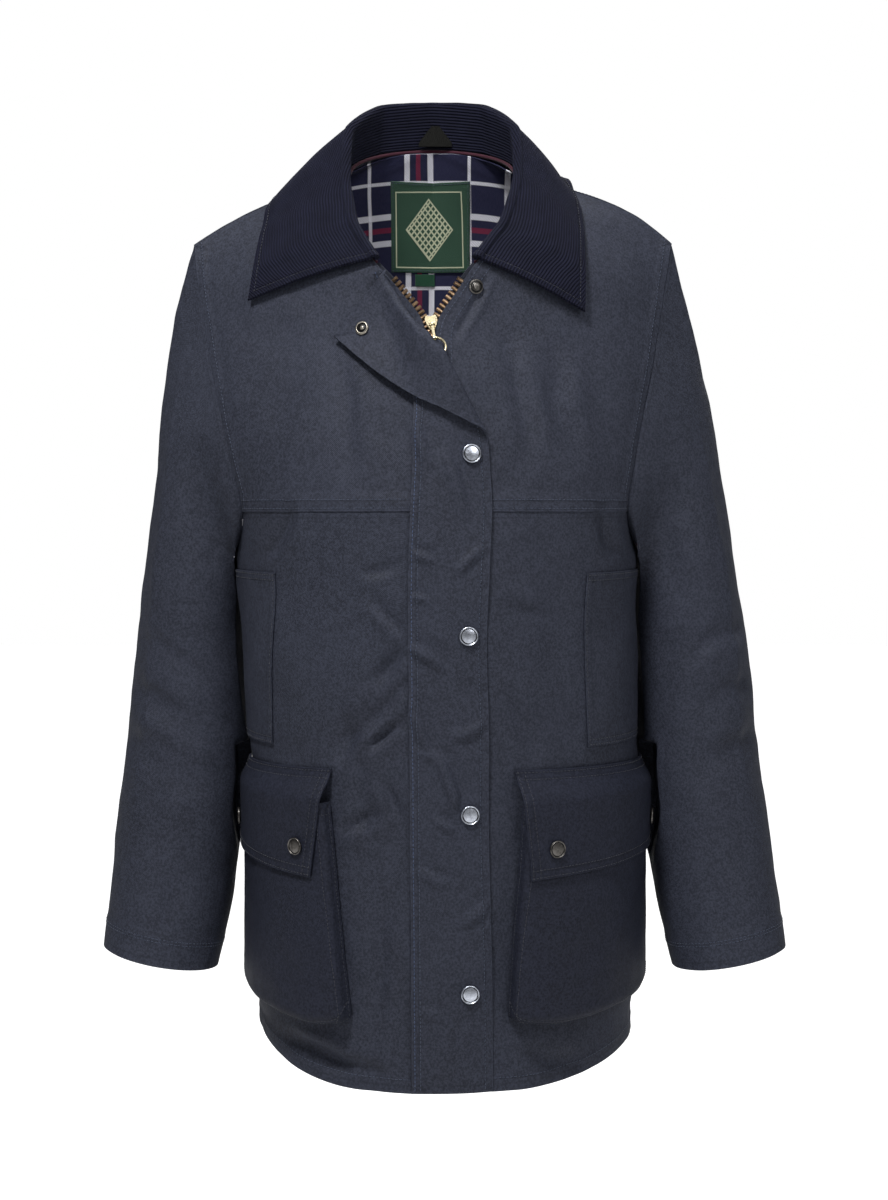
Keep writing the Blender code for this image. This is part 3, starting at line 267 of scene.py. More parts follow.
# Pockets, by how far round the front they lie (0 at the opening, 1 at the side seam) and by level.
POCKET = {
    RIGHT: {"front_top": 0.340, "front_foot": 0.262, "flap_top": 0.332, "flap_foot": 0.385},
    LEFT: {"front_top": 0.262, "front_foot": 0.224, "flap_top": 0.237, "flap_foot": 0.276},
}
POCKET_SIDE = 0.985
POCKET_TOP = -0.492
POCKET_FOOT = (-0.676, -0.662)  # at the front and at the side
POCKET_DEPTH = (0.011, 0.016)  # how far it stands out, at the top and the bottom
SIDE_FLATTENING = 0.42  # part of that depth that goes beside the sleeve
FLAP_TOP = (-0.4660, -0.4700)  # the pocket flap, at the front and at the side
FLAP_FOOT = (-0.5520, -0.5430)
POCKET_STUD = {RIGHT: (0.440, 0.915), LEFT: (0.350, 0.915)}
POCKET_STUD_Z = (-0.5280, -0.5200)
HANDWARMER_FRONT = {RIGHT: (0.541, 0.627), LEFT: (0.507, 0.504)}  # at its top and its foot
HANDWARMER = {"side": 0.930, "top": -0.312, "foot": -0.452}

EDGES = ("left", "right", "low", "high")  # of a piece of cloth
LINING_FOOT = -0.255
LABEL = {"x": (-0.0466, 0.0229), "z": (-0.0555, 0.0205)}
SIZE_TAB = {"x": (-0.0257, -0.0080), "z": (-0.0675, -0.0570)}
PIPING = {"radius": 0.0015, "in": 0.0026, "up": -0.0002}
LOOP = {"width": 0.029, "height": 0.018, "x": -0.0075, "z": 0.0495}

TAPE_CLOTH = 0.0009
TAPE_REACH = 0.0030  # past the edge of the front, where the teeth are
TAPE_COLUMNS = (0.012, 0.009, 0.006, 0.003, 0.0, -TAPE_REACH)  # from the edge of the front inward
SLIDER_PLACE = (-0.0100, -0.1130)
STAND_PLACE = SLIDER_PLACE[1] - 0.026  # the level at which the storm flap stands off most
STAND_SPREAD = 0.042
SLIDER_SEAT = 0.0005
SLIDER_PLATE = 0.0018
PULL_PIVOT = -0.0030  # below the slider's middle
EYE_RADIUS = 0.0020
EYE_STAND = 0.0023  # from the slider's face to the middle of its bar
TAB_LENGTH = 0.0120  # between the middles of its eyes
TAB_WIDTH = 0.0036
RING_RADIUS = 0.0077
RING_WIRE = 0.0010


# Creases in the cloth, seen from the front (-1) or back (1): a trough from one point to another that
# bows sideways, with a soft lip beside it.
CREASES = table(
    "face x1 z1 x2 z2 bow width depth lip",
    # chest and the front beside the storm flap
    (-1, 0.050, -0.120, 0.062, -0.240, 0.006, 0.010, 0.0016, 0.3),
    (-1, 0.090, -0.120, 0.110, -0.230, -0.008, 0.012, 0.0016, 0.3),
    (-1, -0.085, -0.140, -0.080, -0.240, 0.006, 0.011, 0.0015, 0.3),
    (-1, -0.030, -0.392, -0.083, -0.447, 0.003, 0.0065, 0.0028, 0.6),
    (-1, -0.031, -0.366, -0.074, -0.432, 0.002, 0.0060, 0.0013, 0.5),
    (-1, -0.031, -0.368, -0.062, -0.399, 0.003, 0.0055, 0.0022, 0.5),
    (-1, -0.031, -0.359, -0.060, -0.329, -0.001, 0.0045, 0.0018, 0.5),
    (-1, -0.031, -0.420, -0.070, -0.452, 0.003, 0.0055, 0.0022, 0.5),
    (-1, -0.031, -0.506, -0.049, -0.474, 0.001, 0.0045, 0.0018, 0.5),
    (-1, -0.048, -0.494, -0.084, -0.517, 0.003, 0.0060, 0.0026, 0.5),
    (-1, -0.078, -0.420, -0.086, -0.462, 0.002, 0.0090, 0.0022, 0.3),
    (-1, -0.036, -0.300, -0.068, -0.310, 0.003, 0.005, 0.0012, 0.5),
    (-1, 0.0340, -0.0740, 0.0065, -0.1270, 0.002, 0.0035, 0.0012, 0.6),
    (-1, 0.042, -0.330, 0.080, -0.345, -0.004, 0.006, 0.0010, 0.4),
    (-1, 0.045, -0.400, 0.075, -0.470, 0.005, 0.007, 0.0014, 0.4),
    (-1, -0.120, -0.255, -0.140, -0.300, 0.004, 0.007, 0.0018, 0.4),
    (-1, 0.125, -0.255, 0.143, -0.300, -0.004, 0.007, 0.0018, 0.4),
    # above and below the pockets, and toward the hem
    (-1, -0.050, -0.560, -0.058, -0.690, 0.004, 0.009, 0.0018, 0.4),
    (-1, -0.075, -0.440, -0.060, -0.540, 0.004, 0.008, 0.0012, 0.4),
    (-1, 0.060, -0.690, 0.110, -0.715, 0.003, 0.008, 0.0014, 0.4),
    (-1, -0.135, -0.690, -0.075, -0.712, 0.004, 0.008, 0.0020, 0.5),
    (-1, -0.100, -0.705, -0.040, -0.712, 0.003, 0.007, 0.0012, 0.4),
    # the back
    (1, -0.120, -0.330, -0.060, -0.400, 0.008, 0.009, 0.0020, 0.4),
    (1, 0.115, -0.345, 0.055, -0.410, -0.008, 0.009, 0.0020, 0.4),
    (1, -0.130, -0.420, -0.080, -0.450, 0.006, 0.007, 0.0013, 0.4),
    (1, 0.130, -0.430, 0.085, -0.470, -0.006, 0.007, 0.0013, 0.4),
    (1, -0.030, -0.130, -0.045, -0.240, 0.006, 0.013, 0.0008, 0.2),
    (1, 0.045, -0.130, 0.055, -0.250, -0.006, 0.013, 0.0008, 0.2),
    (1, -0.095, -0.560, -0.105, -0.700, 0.005, 0.012, 0.0022, 0.3),
    (1, 0.110, -0.560, 0.095, -0.705, -0.005, 0.012, 0.0022, 0.3),
    # the wearer's right sleeve, from the front
    (-1, -0.200, -0.200, -0.225, -0.330, 0.006, 0.0149, 0.0008, 0.3),
    (-1, -0.180, -0.250, -0.205, -0.330, 0.004, 0.0108, 0.0008, 0.4),
    (-1, -0.262, -0.370, -0.205, -0.405, 0.008, 0.0081, 0.0009, 0.6),
    (-1, -0.268, -0.415, -0.208, -0.440, 0.007, 0.0081, 0.0010, 0.6),
    (-1, -0.270, -0.455, -0.215, -0.470, 0.006, 0.0081, 0.0008, 0.5),
    (-1, -0.235, -0.480, -0.262, -0.560, 0.006, 0.0108, 0.0008, 0.4),
    (-1, -0.225, -0.560, -0.235, -0.620, 0.004, 0.0108, 0.0006, 0.3),
    # the wearer's left sleeve
    (-1, 0.196, -0.200, 0.220, -0.330, -0.006, 0.0149, 0.0008, 0.3),
    (-1, 0.180, -0.260, 0.200, -0.340, -0.004, 0.0108, 0.0008, 0.4),
    (-1, 0.258, -0.360, 0.200, -0.395, -0.008, 0.0081, 0.0009, 0.6),
    (-1, 0.266, -0.405, 0.206, -0.432, -0.007, 0.0081, 0.0009, 0.6),
    (-1, 0.272, -0.452, 0.215, -0.475, -0.006, 0.0081, 0.0008, 0.5),
    (-1, 0.238, -0.490, 0.262, -0.570, -0.006, 0.0108, 0.0008, 0.4),
    (-1, 0.228, -0.560, 0.236, -0.620, -0.004, 0.0108, 0.0006, 0.3),
    # the backs of both sleeves
    (1, -0.262, -0.360, -0.200, -0.330, 0.008, 0.0108, 0.0008, 0.4),
    (1, -0.264, -0.420, -0.196, -0.400, 0.007, 0.0095, 0.0008, 0.4),
    (1, -0.255, -0.480, -0.215, -0.560, 0.006, 0.0121, 0.0007, 0.3),
    (1, 0.262, -0.355, 0.200, -0.325, -0.008, 0.0108, 0.0008, 0.4),
    (1, 0.264, -0.415, 0.196, -0.395, -0.007, 0.0095, 0.0008, 0.4),
    (1, 0.255, -0.485, 0.215, -0.560, -0.006, 0.0121, 0.0007, 0.3),
)
SLEEVE_PRESS = {"height": 0.0012, "place": 0.13, "width": 0.018}  # the pressed ridge, round each sleeve
WARP = {"size": 0.022, "share": 0.45}  # how creases waver
UNEVEN = {"size": 0.035, "share": 0.45, "least": 0.75}  # how their depth varies
CREASE_DEPTH = 3.0  # times the depths in the table
CREASE_WIDTH = 0.9  # times the widths in the tables
SEAM_LAP = 0.0009  # how far a lapped seam stands over the panel beside it
LAP_WIDTH = 0.0090
LAP_EASE = 0.0030  # over what width a lap or a hem falls back to the cloth's level
LAP_REACH = 0.0018  # how far a yoke hangs past its seam
SWAY = table("size height", (0.070, 0.0014), (0.026, 0.0009), (0.011, 0.00030))  # the cloth's own unevenness


def hermite(f, start, end, leave, arrive):
    """The cubic from start to end that leaves and arrives with these slopes."""
    return ((1 + 2 * f) * (1 - f) ** 2 * start + f * (1 - f) ** 2 * leave
            + f * f * (3 - 2 * f) * end - f * f * (1 - f) * arrive)


def smooth(places, values, at):
    """The cubic curve through values at rising places, read at one place or many."""
    slopes = np.gradient(values, places)
    i = np.clip(np.searchsorted(places, at) - 1, 0, len(places) - 2)
    step = places[i + 1] - places[i]
    f = np.clip((at - places[i]) / step, 0.0, 1.0)
    return hermite(f, values[i], values[i + 1], step * slopes[i], step * slopes[i + 1])


def between(ends, share):
    return ends[0] + (ends[1] - ends[0]) * share


def ease(f):
    f = np.clip(f, 0.0, 1.0)
    return f * f * (3 - 2 * f)


def unit(vectors):
    return vectors / np.maximum(np.linalg.norm(vectors, axis=-1, keepdims=True), 1e-12)


TURN_RUN = unit(TURN_FOOT - TURN_TOP)
PRIMES = np.array((73856093, 19349663, 83492791))  # these mix a cell's three numbers into one


def noise(points, size, seed):
    """Smooth noise from -1 to 1 whose bumps are about this size."""
    spots = np.asarray(points) / size + seed * 17.31
    cells = np.floor(spots).astype(np.int64)
    share = ease(spots - cells)
    total = np.zeros(spots.shape[:-1])
    for corner in product((0, 1), repeat=3):
        mixed = np.bitwise_xor.reduce((cells + corner) * PRIMES, axis=-1)
        mixed = (mixed ^ (mixed >> 13)) * 1274126177 & 0x7FFFFFFF
        value = mixed % 65536 / 32768.0 - 1.0
        total += value * np.prod(np.where(corner, share, 1 - share), axis=-1)
    return total


def refine(grid, times, breaks=()):
    """A smooth surface through a grid's rows, with this many rows for each one. It may kink at a break."""
    grid = np.asarray(grid, float)
    cuts = [0, *breaks, len(grid) - 1]
    f = (np.arange(times) / times)[:, None, None]
    rows = []
    for low, high in zip(cuts, cuts[1:]):
        part = grid[low:high + 1]
        slopes = np.gradient(part, axis=0)
        rows += [hermite(f, part[k], part[k + 1], slopes[k], slopes[k + 1]) for k in range(high - low)]
    return np.concatenate(rows + [grid[None, -1]])


def refine_both(grid, rows, columns):
    grid = refine(grid, rows)
    return refine(grid.transpose(1, 0, 2), columns).transpose(1, 0, 2)


def body(column, z):
    return smooth(BODY["z"], BODY[column], z)


def row_points(inner, outer, flat, swell):
    """One row of a panel, from its inner edge to the side seam or armhole."""
    t = np.linspace(0.0, 1.0, COLUMNS * DETAIL + 1)
    angle = t * math.pi / 2
    across = (1 - flat) * np.sin(angle) + flat * t
    along = (1 - flat) * (1 - np.cos(angle)) + flat * t
    points = inner + (outer - inner) * np.stack((across, along, t), axis=1)
    points[:, 2] += swell * 6.75 * t * t * (1 - t)
    points[-1] = outer
    return points


def curved_hem(row, side):
    """A level row, raised towards the side seam by its share of the hem's curve."""
    t = np.linspace(0.0, 1.0, len(row))
    near = np.maximum(HEM_FADE - row[:, 2], 0.0) / (HEM_FADE - LEVELS[0])
    row[:, 2] += HEM_RISE[side] * near * ease((t - HEM_FLAT) / (1 - HEM_FLAT))
    return row


def half_grid(side, face, table_rows, inner_x, breaks):
    """Half of the front or back, in rows from the hem up. inner_x is X where each row starts."""
    rows, r = [], table_rows
    for z, x in zip(LEVELS, inner_x):
        inner = np.array((x, body(face, z), z))
        outer = np.array((body("shift", z) + side * body("half_width", z), SIDE_Y, z))
        rows.append(curved_hem(row_points(inner, outer, 0.0, 0.0), side))
    for i, x in enumerate(inner_x[len(LEVELS):]):
        out_x = body("shift", r["out_z"][i]) + side * r["out_x"][i]
        inner = np.array((x, r["in_y"][i], r["in_z"][i]))
        outer = np.array((out_x, r["out_y"][i], r["out_z"][i]))
        rows.append(row_points(inner, outer, r["flat"][i], r["swell"][i] * SWELL[side]))
    return refine(rows, DETAIL, breaks)


def front_grid(side):
    inner_x = [FRONT_EDGE[side]] * len(LEVELS) + list(FRONT_ROWS["in_" + SIDE_NAMES[side]])
    return half_grid(side, "front", FRONT_ROWS, inner_x, (len(LEVELS),))


def back_grid(side):
    inner_x = [body("shift", z) for z in LEVELS]
    for z, x in zip(BACK_ROWS["in_z"], BACK_ROWS["in_x"]):
        inner_x.append((NECK_MIDDLE if x else body("shift", z)) + side * x)
    return half_grid(side, "back", BACK_ROWS, inner_x, (len(LEVELS), NECK_ROW))


def beside_body(points, side):
    """The points, moved out where they would lie in the body or too near it."""
    z = points[..., 2]
    y = points[..., 1]
    armpit = FRONT_ROWS["out_z"][0]
    depth = np.where(y > SIDE_Y, body("back", z), body("front", z)) - SIDE_Y
    share = np.minimum(np.abs((y - SIDE_Y) / depth), 0.999)
    clearance = BODY_CLEARANCE * ease((armpit - z) / CLEARANCE_EASE)
    pocket = (POCKET_FOOT[0] < z) & (z < FLAP_TOP[1] + 0.01) & (y < 0.004)
    proud = POCKET_DEPTH[1] * (1 - SIDE_FLATTENING) + POCKET_CLEARANCE
    proud = proud + STUD_CLEARANCE[0] * np.exp(-(((z - POCKET_STUD_Z[1]) / STUD_CLEARANCE[1]) ** 2))
    clearance = clearance + np.where(pocket, proud, 0.0)
    least = body("half_width", z) * np.sqrt(1 - share * share) + clearance
    out = side * (points[..., 0] - body("shift", z))
    moved = points.copy()
    moved[..., 0] += np.where(z > armpit, 0.0, side * np.maximum(least - out, 0.0))
    return moved


def sleeve_section(side, z, count):
    """One section of a sleeve, from its outer side round its front, its inner side and its back."""
    outer, inner, y, depth, shift = (
        smooth(-SLEEVE["z"], SLEEVE[name], -z) for name in ("outer", "inner", "y", "half_depth", "shift")
    )
    drop = CUFF_DROP * ease((CUFF_START - z) / (CUFF_START - SLEEVE["z"][-1]))
    angle = 2 * math.pi * np.arange(count) / count
    across = (outer - inner) / 2 * np.cos(angle)
    x = shift + side * ((outer + inner) / 2 + across)
    level = z + across * math.tan(ARM_TILT) - drop * (1 - np.cos(angle)) / 2
    ring = np.stack((x, y - depth * np.sin(angle), level), axis=1)
    return beside_body(ring, side)


def sleeve_grid(side, front, back):
    """Rings from the armhole to the cuff. The first is the armhole's own points."""
    top = len(LEVELS) * DETAIL
    hole = np.concatenate((front[:top - 1:-1, -1], back[top + 1:-1, -1]))
    count = len(hole)
    first = sleeve_section(side, SLEEVE["z"][0], count)
    arrive = np.array((side * math.sin(ARM_TILT), 0.0, -math.cos(ARM_TILT)))
    low = (1 - np.cos(2 * math.pi * np.arange(count) / count)) / 2
    lean = side * (LEAVING[0] + (LEAVING[1] - LEAVING[0]) * low)
    leave = unit(np.stack((lean, np.zeros(count), -np.ones(count)), axis=1))
    length = np.linalg.norm(first - hole, axis=1, keepdims=True)
    rings = [hole]
    for f in np.linspace(0, 1, HEAD_RINGS * DETAIL + 1)[1:-1]:
        rings.append(beside_body(hermite(f, hole, first, length * leave, length * arrive), side))
    for z in np.linspace(SLEEVE["z"][0], SLEEVE["z"][-1], (ARM_RINGS - 1) * DETAIL + 1):
        rings.append(sleeve_section(side, z, count))
    return np.array(rings)


def fold_depth(points, normals):
    """How far the largest folds sink each point."""
    flat = points[:, (0, 2)]
    depth = np.zeros(len(points))
    for face, x1, z1, x2, z2, width, deep in zip(*FOLDS.values()):
        run = np.array((x2 - x1, z2 - z1))
        offset = flat - (x1, z1)
        share = np.clip(offset @ run / (run @ run), 0, 1)
        away = np.linalg.norm(offset - share[:, None] * run, axis=1)
        facing = np.clip(face * normals[:, 1] * 2.0, 0, 1)
        fading = 0.35 + 0.65 * np.sin(np.pi * np.clip(share, 0.08, 0.92))
        depth += facing * fading * deep * np.exp(-((away / width) ** 2))
    return depth


def crease_depth(points, normals, creases, deeper=1.0, sway=1.0):
    """How far the creases and the cloth's own unevenness sink each point."""
    flat = points[:, (0, 2)]
    depth = np.zeros(len(points))
    warp = WARP["share"] * noise(points, WARP["size"], 3)
    uneven = UNEVEN["least"] + UNEVEN["share"] * noise(points, UNEVEN["size"], 5)
    for face, x1, z1, x2, z2, bow, width, deep, lip in zip(*creases.values()):
        run = np.array((x2 - x1, z2 - z1))
        length = np.linalg.norm(run)
        run = run / length
        offset = flat - (x1, z1)
        share = offset @ run / length
        inside = np.clip(share, 0, 1)
        away = offset @ np.array((-run[1], run[0])) - bow * 4 * inside * (1 - inside)
        away = away / (CREASE_WIDTH * width) + warp
        ends = np.sin(np.pi * np.clip(share, 0, 1)) ** 0.7
        facing = np.clip(face * normals[:, 1] * 2.0, 0, 1)
        trough = np.exp(-(away ** 2)) - lip * np.exp(-(((away - 1.7) / 1.1) ** 2))
        depth += facing * ends * uneven * deeper * deep * trough
    for seed, (size, height) in enumerate(zip(SWAY["size"], SWAY["height"])):
        depth += sway * height * noise(points, size, seed + 8)
    return depth


def flap_edges(z):
    """X of the storm flap's sewn edge and its free edge, lying flat."""
    return smooth(FLAP["z"], FLAP["base"], z), smooth(FLAP["z"], FLAP["free"], z)


def covered(side, grid):
    """1 where a front lies under the storm flap or a pocket, which keep it smooth."""
    x, z = grid[..., 0], grid[..., 2]
    past = (TURN_TOP[0] - x) * TURN_RUN[1] + (z - TURN_TOP[1]) * TURN_RUN[0]
    base, free = flap_edges(z)
    flap = ease((x - base + 0.002) / 0.006) * ease((free + 0.002 - x) / 0.006) * ease(0.5 - past / 0.010)
    plan = POCKET[side]
    t = np.linspace(0.0, 1.0, grid.shape[1])[None, :]
    share = np.clip((z - POCKET_FOOT[0]) / (POCKET_TOP - POCKET_FOOT[0]), 0, 1)
    front = between((plan["front_foot"], plan["front_top"]), share)
    pocket = ease((t - front) / 0.03 + 1) * ease((z - POCKET_FOOT[0]) / 0.010 + 1)
    return np.maximum(flap, pocket * ease((FLAP_TOP[1] - z) / 0.010 + 1))


def quad_ids(ids, closed, flip):
    """The quads of a grid of point numbers, each as four corners in order."""
    right = np.roll(ids, -1, axis=1) if closed else ids[:, 1:]
    left = ids if closed else ids[:, :-1]
    quads = np.stack((left[:-1], right[:-1], right[1:], left[1:]), axis=-1).reshape(-1, 4)
    return quads[:, ::-1] if flip else quads


def vertex_normals(points, quads):
    corners = points[quads]
    faces = np.cross(corners[:, 2] - corners[:, 0], corners[:, 3] - corners[:, 1])
    normals = np.zeros_like(points)
    for k in range(4):
        np.add.at(normals, quads[:, k], faces)
    return unit(normals)


class Sheet:
    """One grid of a piece of cloth: its point numbers, its flat map and how far it lies from its edges."""

    def __init__(self, ids, points, closed=False, flip=False):
        self.ids = ids
        self.closed = closed
        self.flip = flip
        grid = points[ids]
        if closed:
            grid = np.concatenate((grid, grid[:, :1]), axis=1)
        across = np.linalg.norm(np.diff(grid, axis=1), axis=2)
        along = np.linalg.norm(np.diff(grid, axis=0), axis=2)
        self.u = np.concatenate((np.zeros((len(grid), 1)), np.cumsum(across, axis=1)), axis=1)
        self.v = np.concatenate((np.zeros((1, grid.shape[1])), np.cumsum(along, axis=0)), axis=0)
        self.edges = {
            "left": self.u,
            "right": self.u[:, -1:] - self.u,
            "low": self.v,
            "high": self.v[-1:] - self.v,
        }

    def quads(self):
        return quad_ids(self.ids, self.closed, self.flip)

    def corner_values(self, values):
        """A value for each corner of each quad, from a grid that has the closing column too."""
        low, high = values[:-1], values[1:]
        quads = np.stack((low[:, :-1], low[:, 1:], high[:, 1:], high[:, :-1]), axis=-1).reshape(-1, 4)
        return quads[:, ::-1] if self.flip else quads

    def band(self, edge, width):
        """1 in the band along an edge and 0 beyond it, for each point."""
        values = 1 - ease((self.edges[edge] - width) / LAP_EASE)
        return values[:, :-1] if self.closed else values

    def nearest(self, names):
        """The distance to the nearest of the named edges, and the place along it."""
        distance = np.min([self.edges[name] for name in names], axis=0)
        beside = np.minimum(self.edges["left"], self.edges["right"])
        above = np.minimum(self.edges["low"], self.edges["high"])
        return distance, np.where(beside < above, self.v, self.u)


class Shell:
    """The panels as one skin whose seams share their points."""

    def __init__(self):
        fronts = {side: front_grid(side) for side in (RIGHT, LEFT)}
        backs = {side: back_grid(side) for side in (RIGHT, LEFT)}
        split = YOKE_ROW * DETAIL
        parts = []
        for side, name in SIDE_NAMES.items():
            sleeve, flip = sleeve_grid(side, fronts[side], backs[side]), side == RIGHT
            parts.append(("front_" + name, fronts[side][:split + 1], False, flip))
            parts.append(("front_yoke_" + name, fronts[side][split:], False, flip))
            parts.append(("back", backs[side], False, not flip))
            parts.append(("sleeve_" + name, sleeve, True, flip))
        stacked = np.concatenate([grid.reshape(-1, 3) for _, grid, _, _ in parts])
        under = [
            covered(LEFT if "left" in name else RIGHT, grid) if "front" in name else np.zeros(grid.shape[:2])
            for name, grid, _, _ in parts
        ]
        _, first, index = np.unique(np.round(stacked, 6), axis=0, return_index=True, return_inverse=True)
        self.points = stacked[first]
        index = index.reshape(-1)
        ids, start = [], 0
        for _, grid, _, _ in parts:
            count = grid.shape[0] * grid.shape[1]
            ids.append(index[start:start + count].reshape(grid.shape[:2]))
            start += count
        plain = [quad_ids(i, closed, flip) for i, (_, _, closed, flip) in zip(ids, parts)]
        self.quads = np.concatenate(plain)
        normals = vertex_normals(self.points, self.quads)
        self.calm = self.points - normals * fold_depth(self.points, normals)[:, None]
        self.calm_normals = vertex_normals(self.calm, self.quads)
        free = 1 - np.concatenate([share.ravel() for share in under])[first]
        depth = crease_depth(self.calm, self.calm_normals, CREASES, CREASE_DEPTH) * free
        self.points = self.calm - self.calm_normals * depth[:, None]
        self.press_sleeves((ids[3], ids[7]))
        self.normals = vertex_normals(self.points, self.quads)
        self.panels = {}
        for i, (name, _, closed, flip) in zip(ids, parts):
            self.panels.setdefault(name, []).append(Sheet(i, self.points, closed, flip))

    def press_sleeves(self, sleeves):
        """Raises the long pressed ridge down the outer front of each sleeve."""
        normals = vertex_normals(self.points, self.quads)
        for ids in sleeves:
            count = ids.shape[1]
            away = np.abs(np.arange(count) - count * SLEEVE_PRESS["place"]) / count
            across = np.exp(-((away / SLEEVE_PRESS["width"]) ** 2))
            down = np.sin(np.pi * np.clip(np.linspace(0, 1, len(ids)) * 1.15, 0, 1))
            height = SLEEVE_PRESS["height"] * down[:, None] * across
            np.add.at(self.points, ids, normals[ids] * height[..., None])


def cropped(line, start, end):
    """A line with this much of its length taken off each end."""
    steps = np.concatenate(([0.0], np.cumsum(np.linalg.norm(np.diff(line, axis=0), axis=1))))
    at = np.linspace(start, steps[-1] - end, max(int((steps[-1] - start - end) / 0.004), 2))
    return np.stack([np.interp(at, steps, line[:, k]) for k in range(3)], axis=1)


def edge_line(sheet, points, edge, offset, start=0.0, end=0.0):
    """The line at this distance from a sheet's edge."""
    grid, values = points[sheet.ids], sheet.edges[edge]
    if sheet.closed:
        grid = np.concatenate((grid, grid[:, :1]), axis=1)
    if edge in ("left", "right"):
        grid, values = grid.transpose(1, 0, 2), values.T
    if edge in ("right", "high"):
        grid, values = grid[::-1], values[::-1]
    line = [[np.interp(offset, values[:, j], grid[:, j, k]) for k in range(3)] for j in range(grid.shape[1])]
    return cropped(np.array(line), start, end)


STITCH_RUNS = []  # the lines that the stitching operator sews
STITCH_LIFT = 0.00025


def sew(sheet, points, normals, edge, offsets, start=0.004, end=0.004, thread="thread"):
    """Notes rows of stitches at these distances from an edge."""
    for offset in offsets:
        line = edge_line(sheet, points + normals * STITCH_LIFT, edge, offset, start, end)
        STITCH_RUNS.append((line, thread))


def finished(obj, body, node=None):
    """Sets a piece on its body, in place of the frame's node."""
    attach(obj, body)
    if node:
        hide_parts(*([node] if isinstance(node, str) else node))
    return obj


def placed(name, data):
    """Puts a new mesh, light or camera in the scene."""
    made = bpy.data.objects.new(name, data)
    bpy.context.scene.collection.objects.link(made)
    return made


def mesh_object(name, points, faces, materials, slots=None, maps=None, angle=50.0):
    mesh = bpy.data.meshes.new(name)
    mesh.from_pydata(np.asarray(points).tolist(), [], [list(map(int, face)) for face in faces])
    for material in materials:
        mesh.materials.append(material)
    if slots is not None:
        mesh.polygons.foreach_set("material_index", np.asarray(slots, np.int32))
    for map_name, values in (maps or {}).items():
        layer = mesh.uv_layers.new(name=map_name)
        layer.uv.foreach_set("vector", np.asarray(values, np.float32).ravel())
    mesh.shade_smooth()
    mesh.set_sharp_from_angle(angle=math.radians(angle))
    mesh.update()
    return placed(name, mesh)


def cloth_wall(name, points, normals, sheets, thickness, outer, inner, edges):
    """A closed wall of cloth from one or more sheets: its outer skin, its inner skin and a rounded rim."""
    quads = np.concatenate([sheet.quads() for sheet in sheets])
    used, local = np.unique(quads, return_inverse=True)
    local = local.reshape(-1, 4)
    count = len(used)
    spots, facing = points[used], normals[used]
    starts, ends = local.ravel(), np.roll(local, -1, axis=1).ravel()
    alone = ~np.isin(starts * count + ends, ends * count + starts)
    a, b = starts[alone], ends[alone]
    way = unit(np.cross(facing[a] + facing[b], spots[b] - spots[a]))
    ways = np.zeros_like(spots)
    np.add.at(ways, a, way)
    np.add.at(ways, b, way)
    ways = unit(ways)
    rounding = 0.22 * thickness
    skin = spots + ways * rounding
    lining = skin - facing * thickness
    rim, place = np.unique(np.concatenate((a, b)), return_inverse=True)
    middle = (spots - facing * thickness / 2)[rim]
    a_mid, b_mid = place[:len(a)] + 2 * count, place[len(a):] + 2 * count
    faces = np.concatenate((
        local,
        local[:, (0, 3, 2, 1)] + count,
        np.stack((b, a, a_mid, b_mid), axis=1),
        np.stack((b_mid, a_mid, a + count, b + count), axis=1),
    ))
    slots = np.zeros(len(faces), int)
    slots[len(local):2 * len(local)] = 1
    maps = {}
    for map_name, pairs in (
        ("UVMap", [(sheet.u, sheet.v) for sheet in sheets]),
        ("Seam", [sheet.nearest(edges) for sheet in sheets]),
    ):
        corners = np.concatenate([
            np.stack([sheet.corner_values(values) for values in pair], axis=-1)
            for sheet, pair in zip(sheets, pairs)
        ])
        by_point = np.zeros((count, 2))
        by_point[local.ravel()] = corners.reshape(-1, 2)
        rim_corners = by_point[np.stack((b, a, a, b), axis=1)]
        maps[map_name] = np.concatenate((corners, corners[:, (0, 3, 2, 1)], rim_corners, rim_corners))
    made = mesh_object(name, np.concatenate((skin, lining, middle)), faces, [outer, inner], slots, maps)
    corners = skin[local]
    area = float(np.linalg.norm(
        np.cross(corners[:, 2] - corners[:, 0], corners[:, 3] - corners[:, 1]), axis=1).sum() / 2)
    return made, area


def cut_of(sheets, area):
    """The flat cut of a piece: its greatest width and length, and its area where it isn't a rectangle."""
    width = sum(float(sheet.u.max()) for sheet in sheets)
    length = max(float(sheet.v.max()) for sheet in sheets)
    return (width, length), min(max(area, 0.31 * width * length), width * length)


def cloth_piece(name, points, normals, sheets, thickness, outer, inner, edges=EDGES):
    """One piece of cloth, worn into its shape, set on the jacket in place of the frame's node; its seam map
    runs from its sewn or turned edges.
    """
    made, area = cloth_wall(name, points, normals, sheets, thickness, outer, inner, edges)
    finished(made, "jacket", name)
    flat, area = cut_of(sheets, area)


def grid_piece(name, grid, thickness, cloth, flip=False, middle=False, sway=0.0, seed=1, edges=EDGES,
               rows=None, inset=0.002, thread="dark_thread"):
    """A piece of cloth from a grid of its outer points, or of its middle ones, with its rows of stitches."""
    grid = np.asarray(grid)
    points = grid.reshape(-1, 3)
    ids = np.arange(len(points)).reshape(grid.shape[:2])
    normals = vertex_normals(points, quad_ids(ids, False, flip))
    if sway:
        uneven = noise(points, 0.030, seed) + 0.5 * noise(points, 0.012, seed + 1)
        points = points + normals * (sway * uneven)[:, None]
    if middle:
        points = points + normals * thickness / 2
    sheet = Sheet(ids, points, flip=flip)
    cloth_piece(name, points, normals, [sheet], thickness, finish(cloth), finish(cloth), edges)
    for edge, offsets in (rows or {}).items():
        sew(sheet, points, normals, edge, offsets, inset, inset, thread)
    return sheet, points, normals


# --- materials ---------------------------------------------


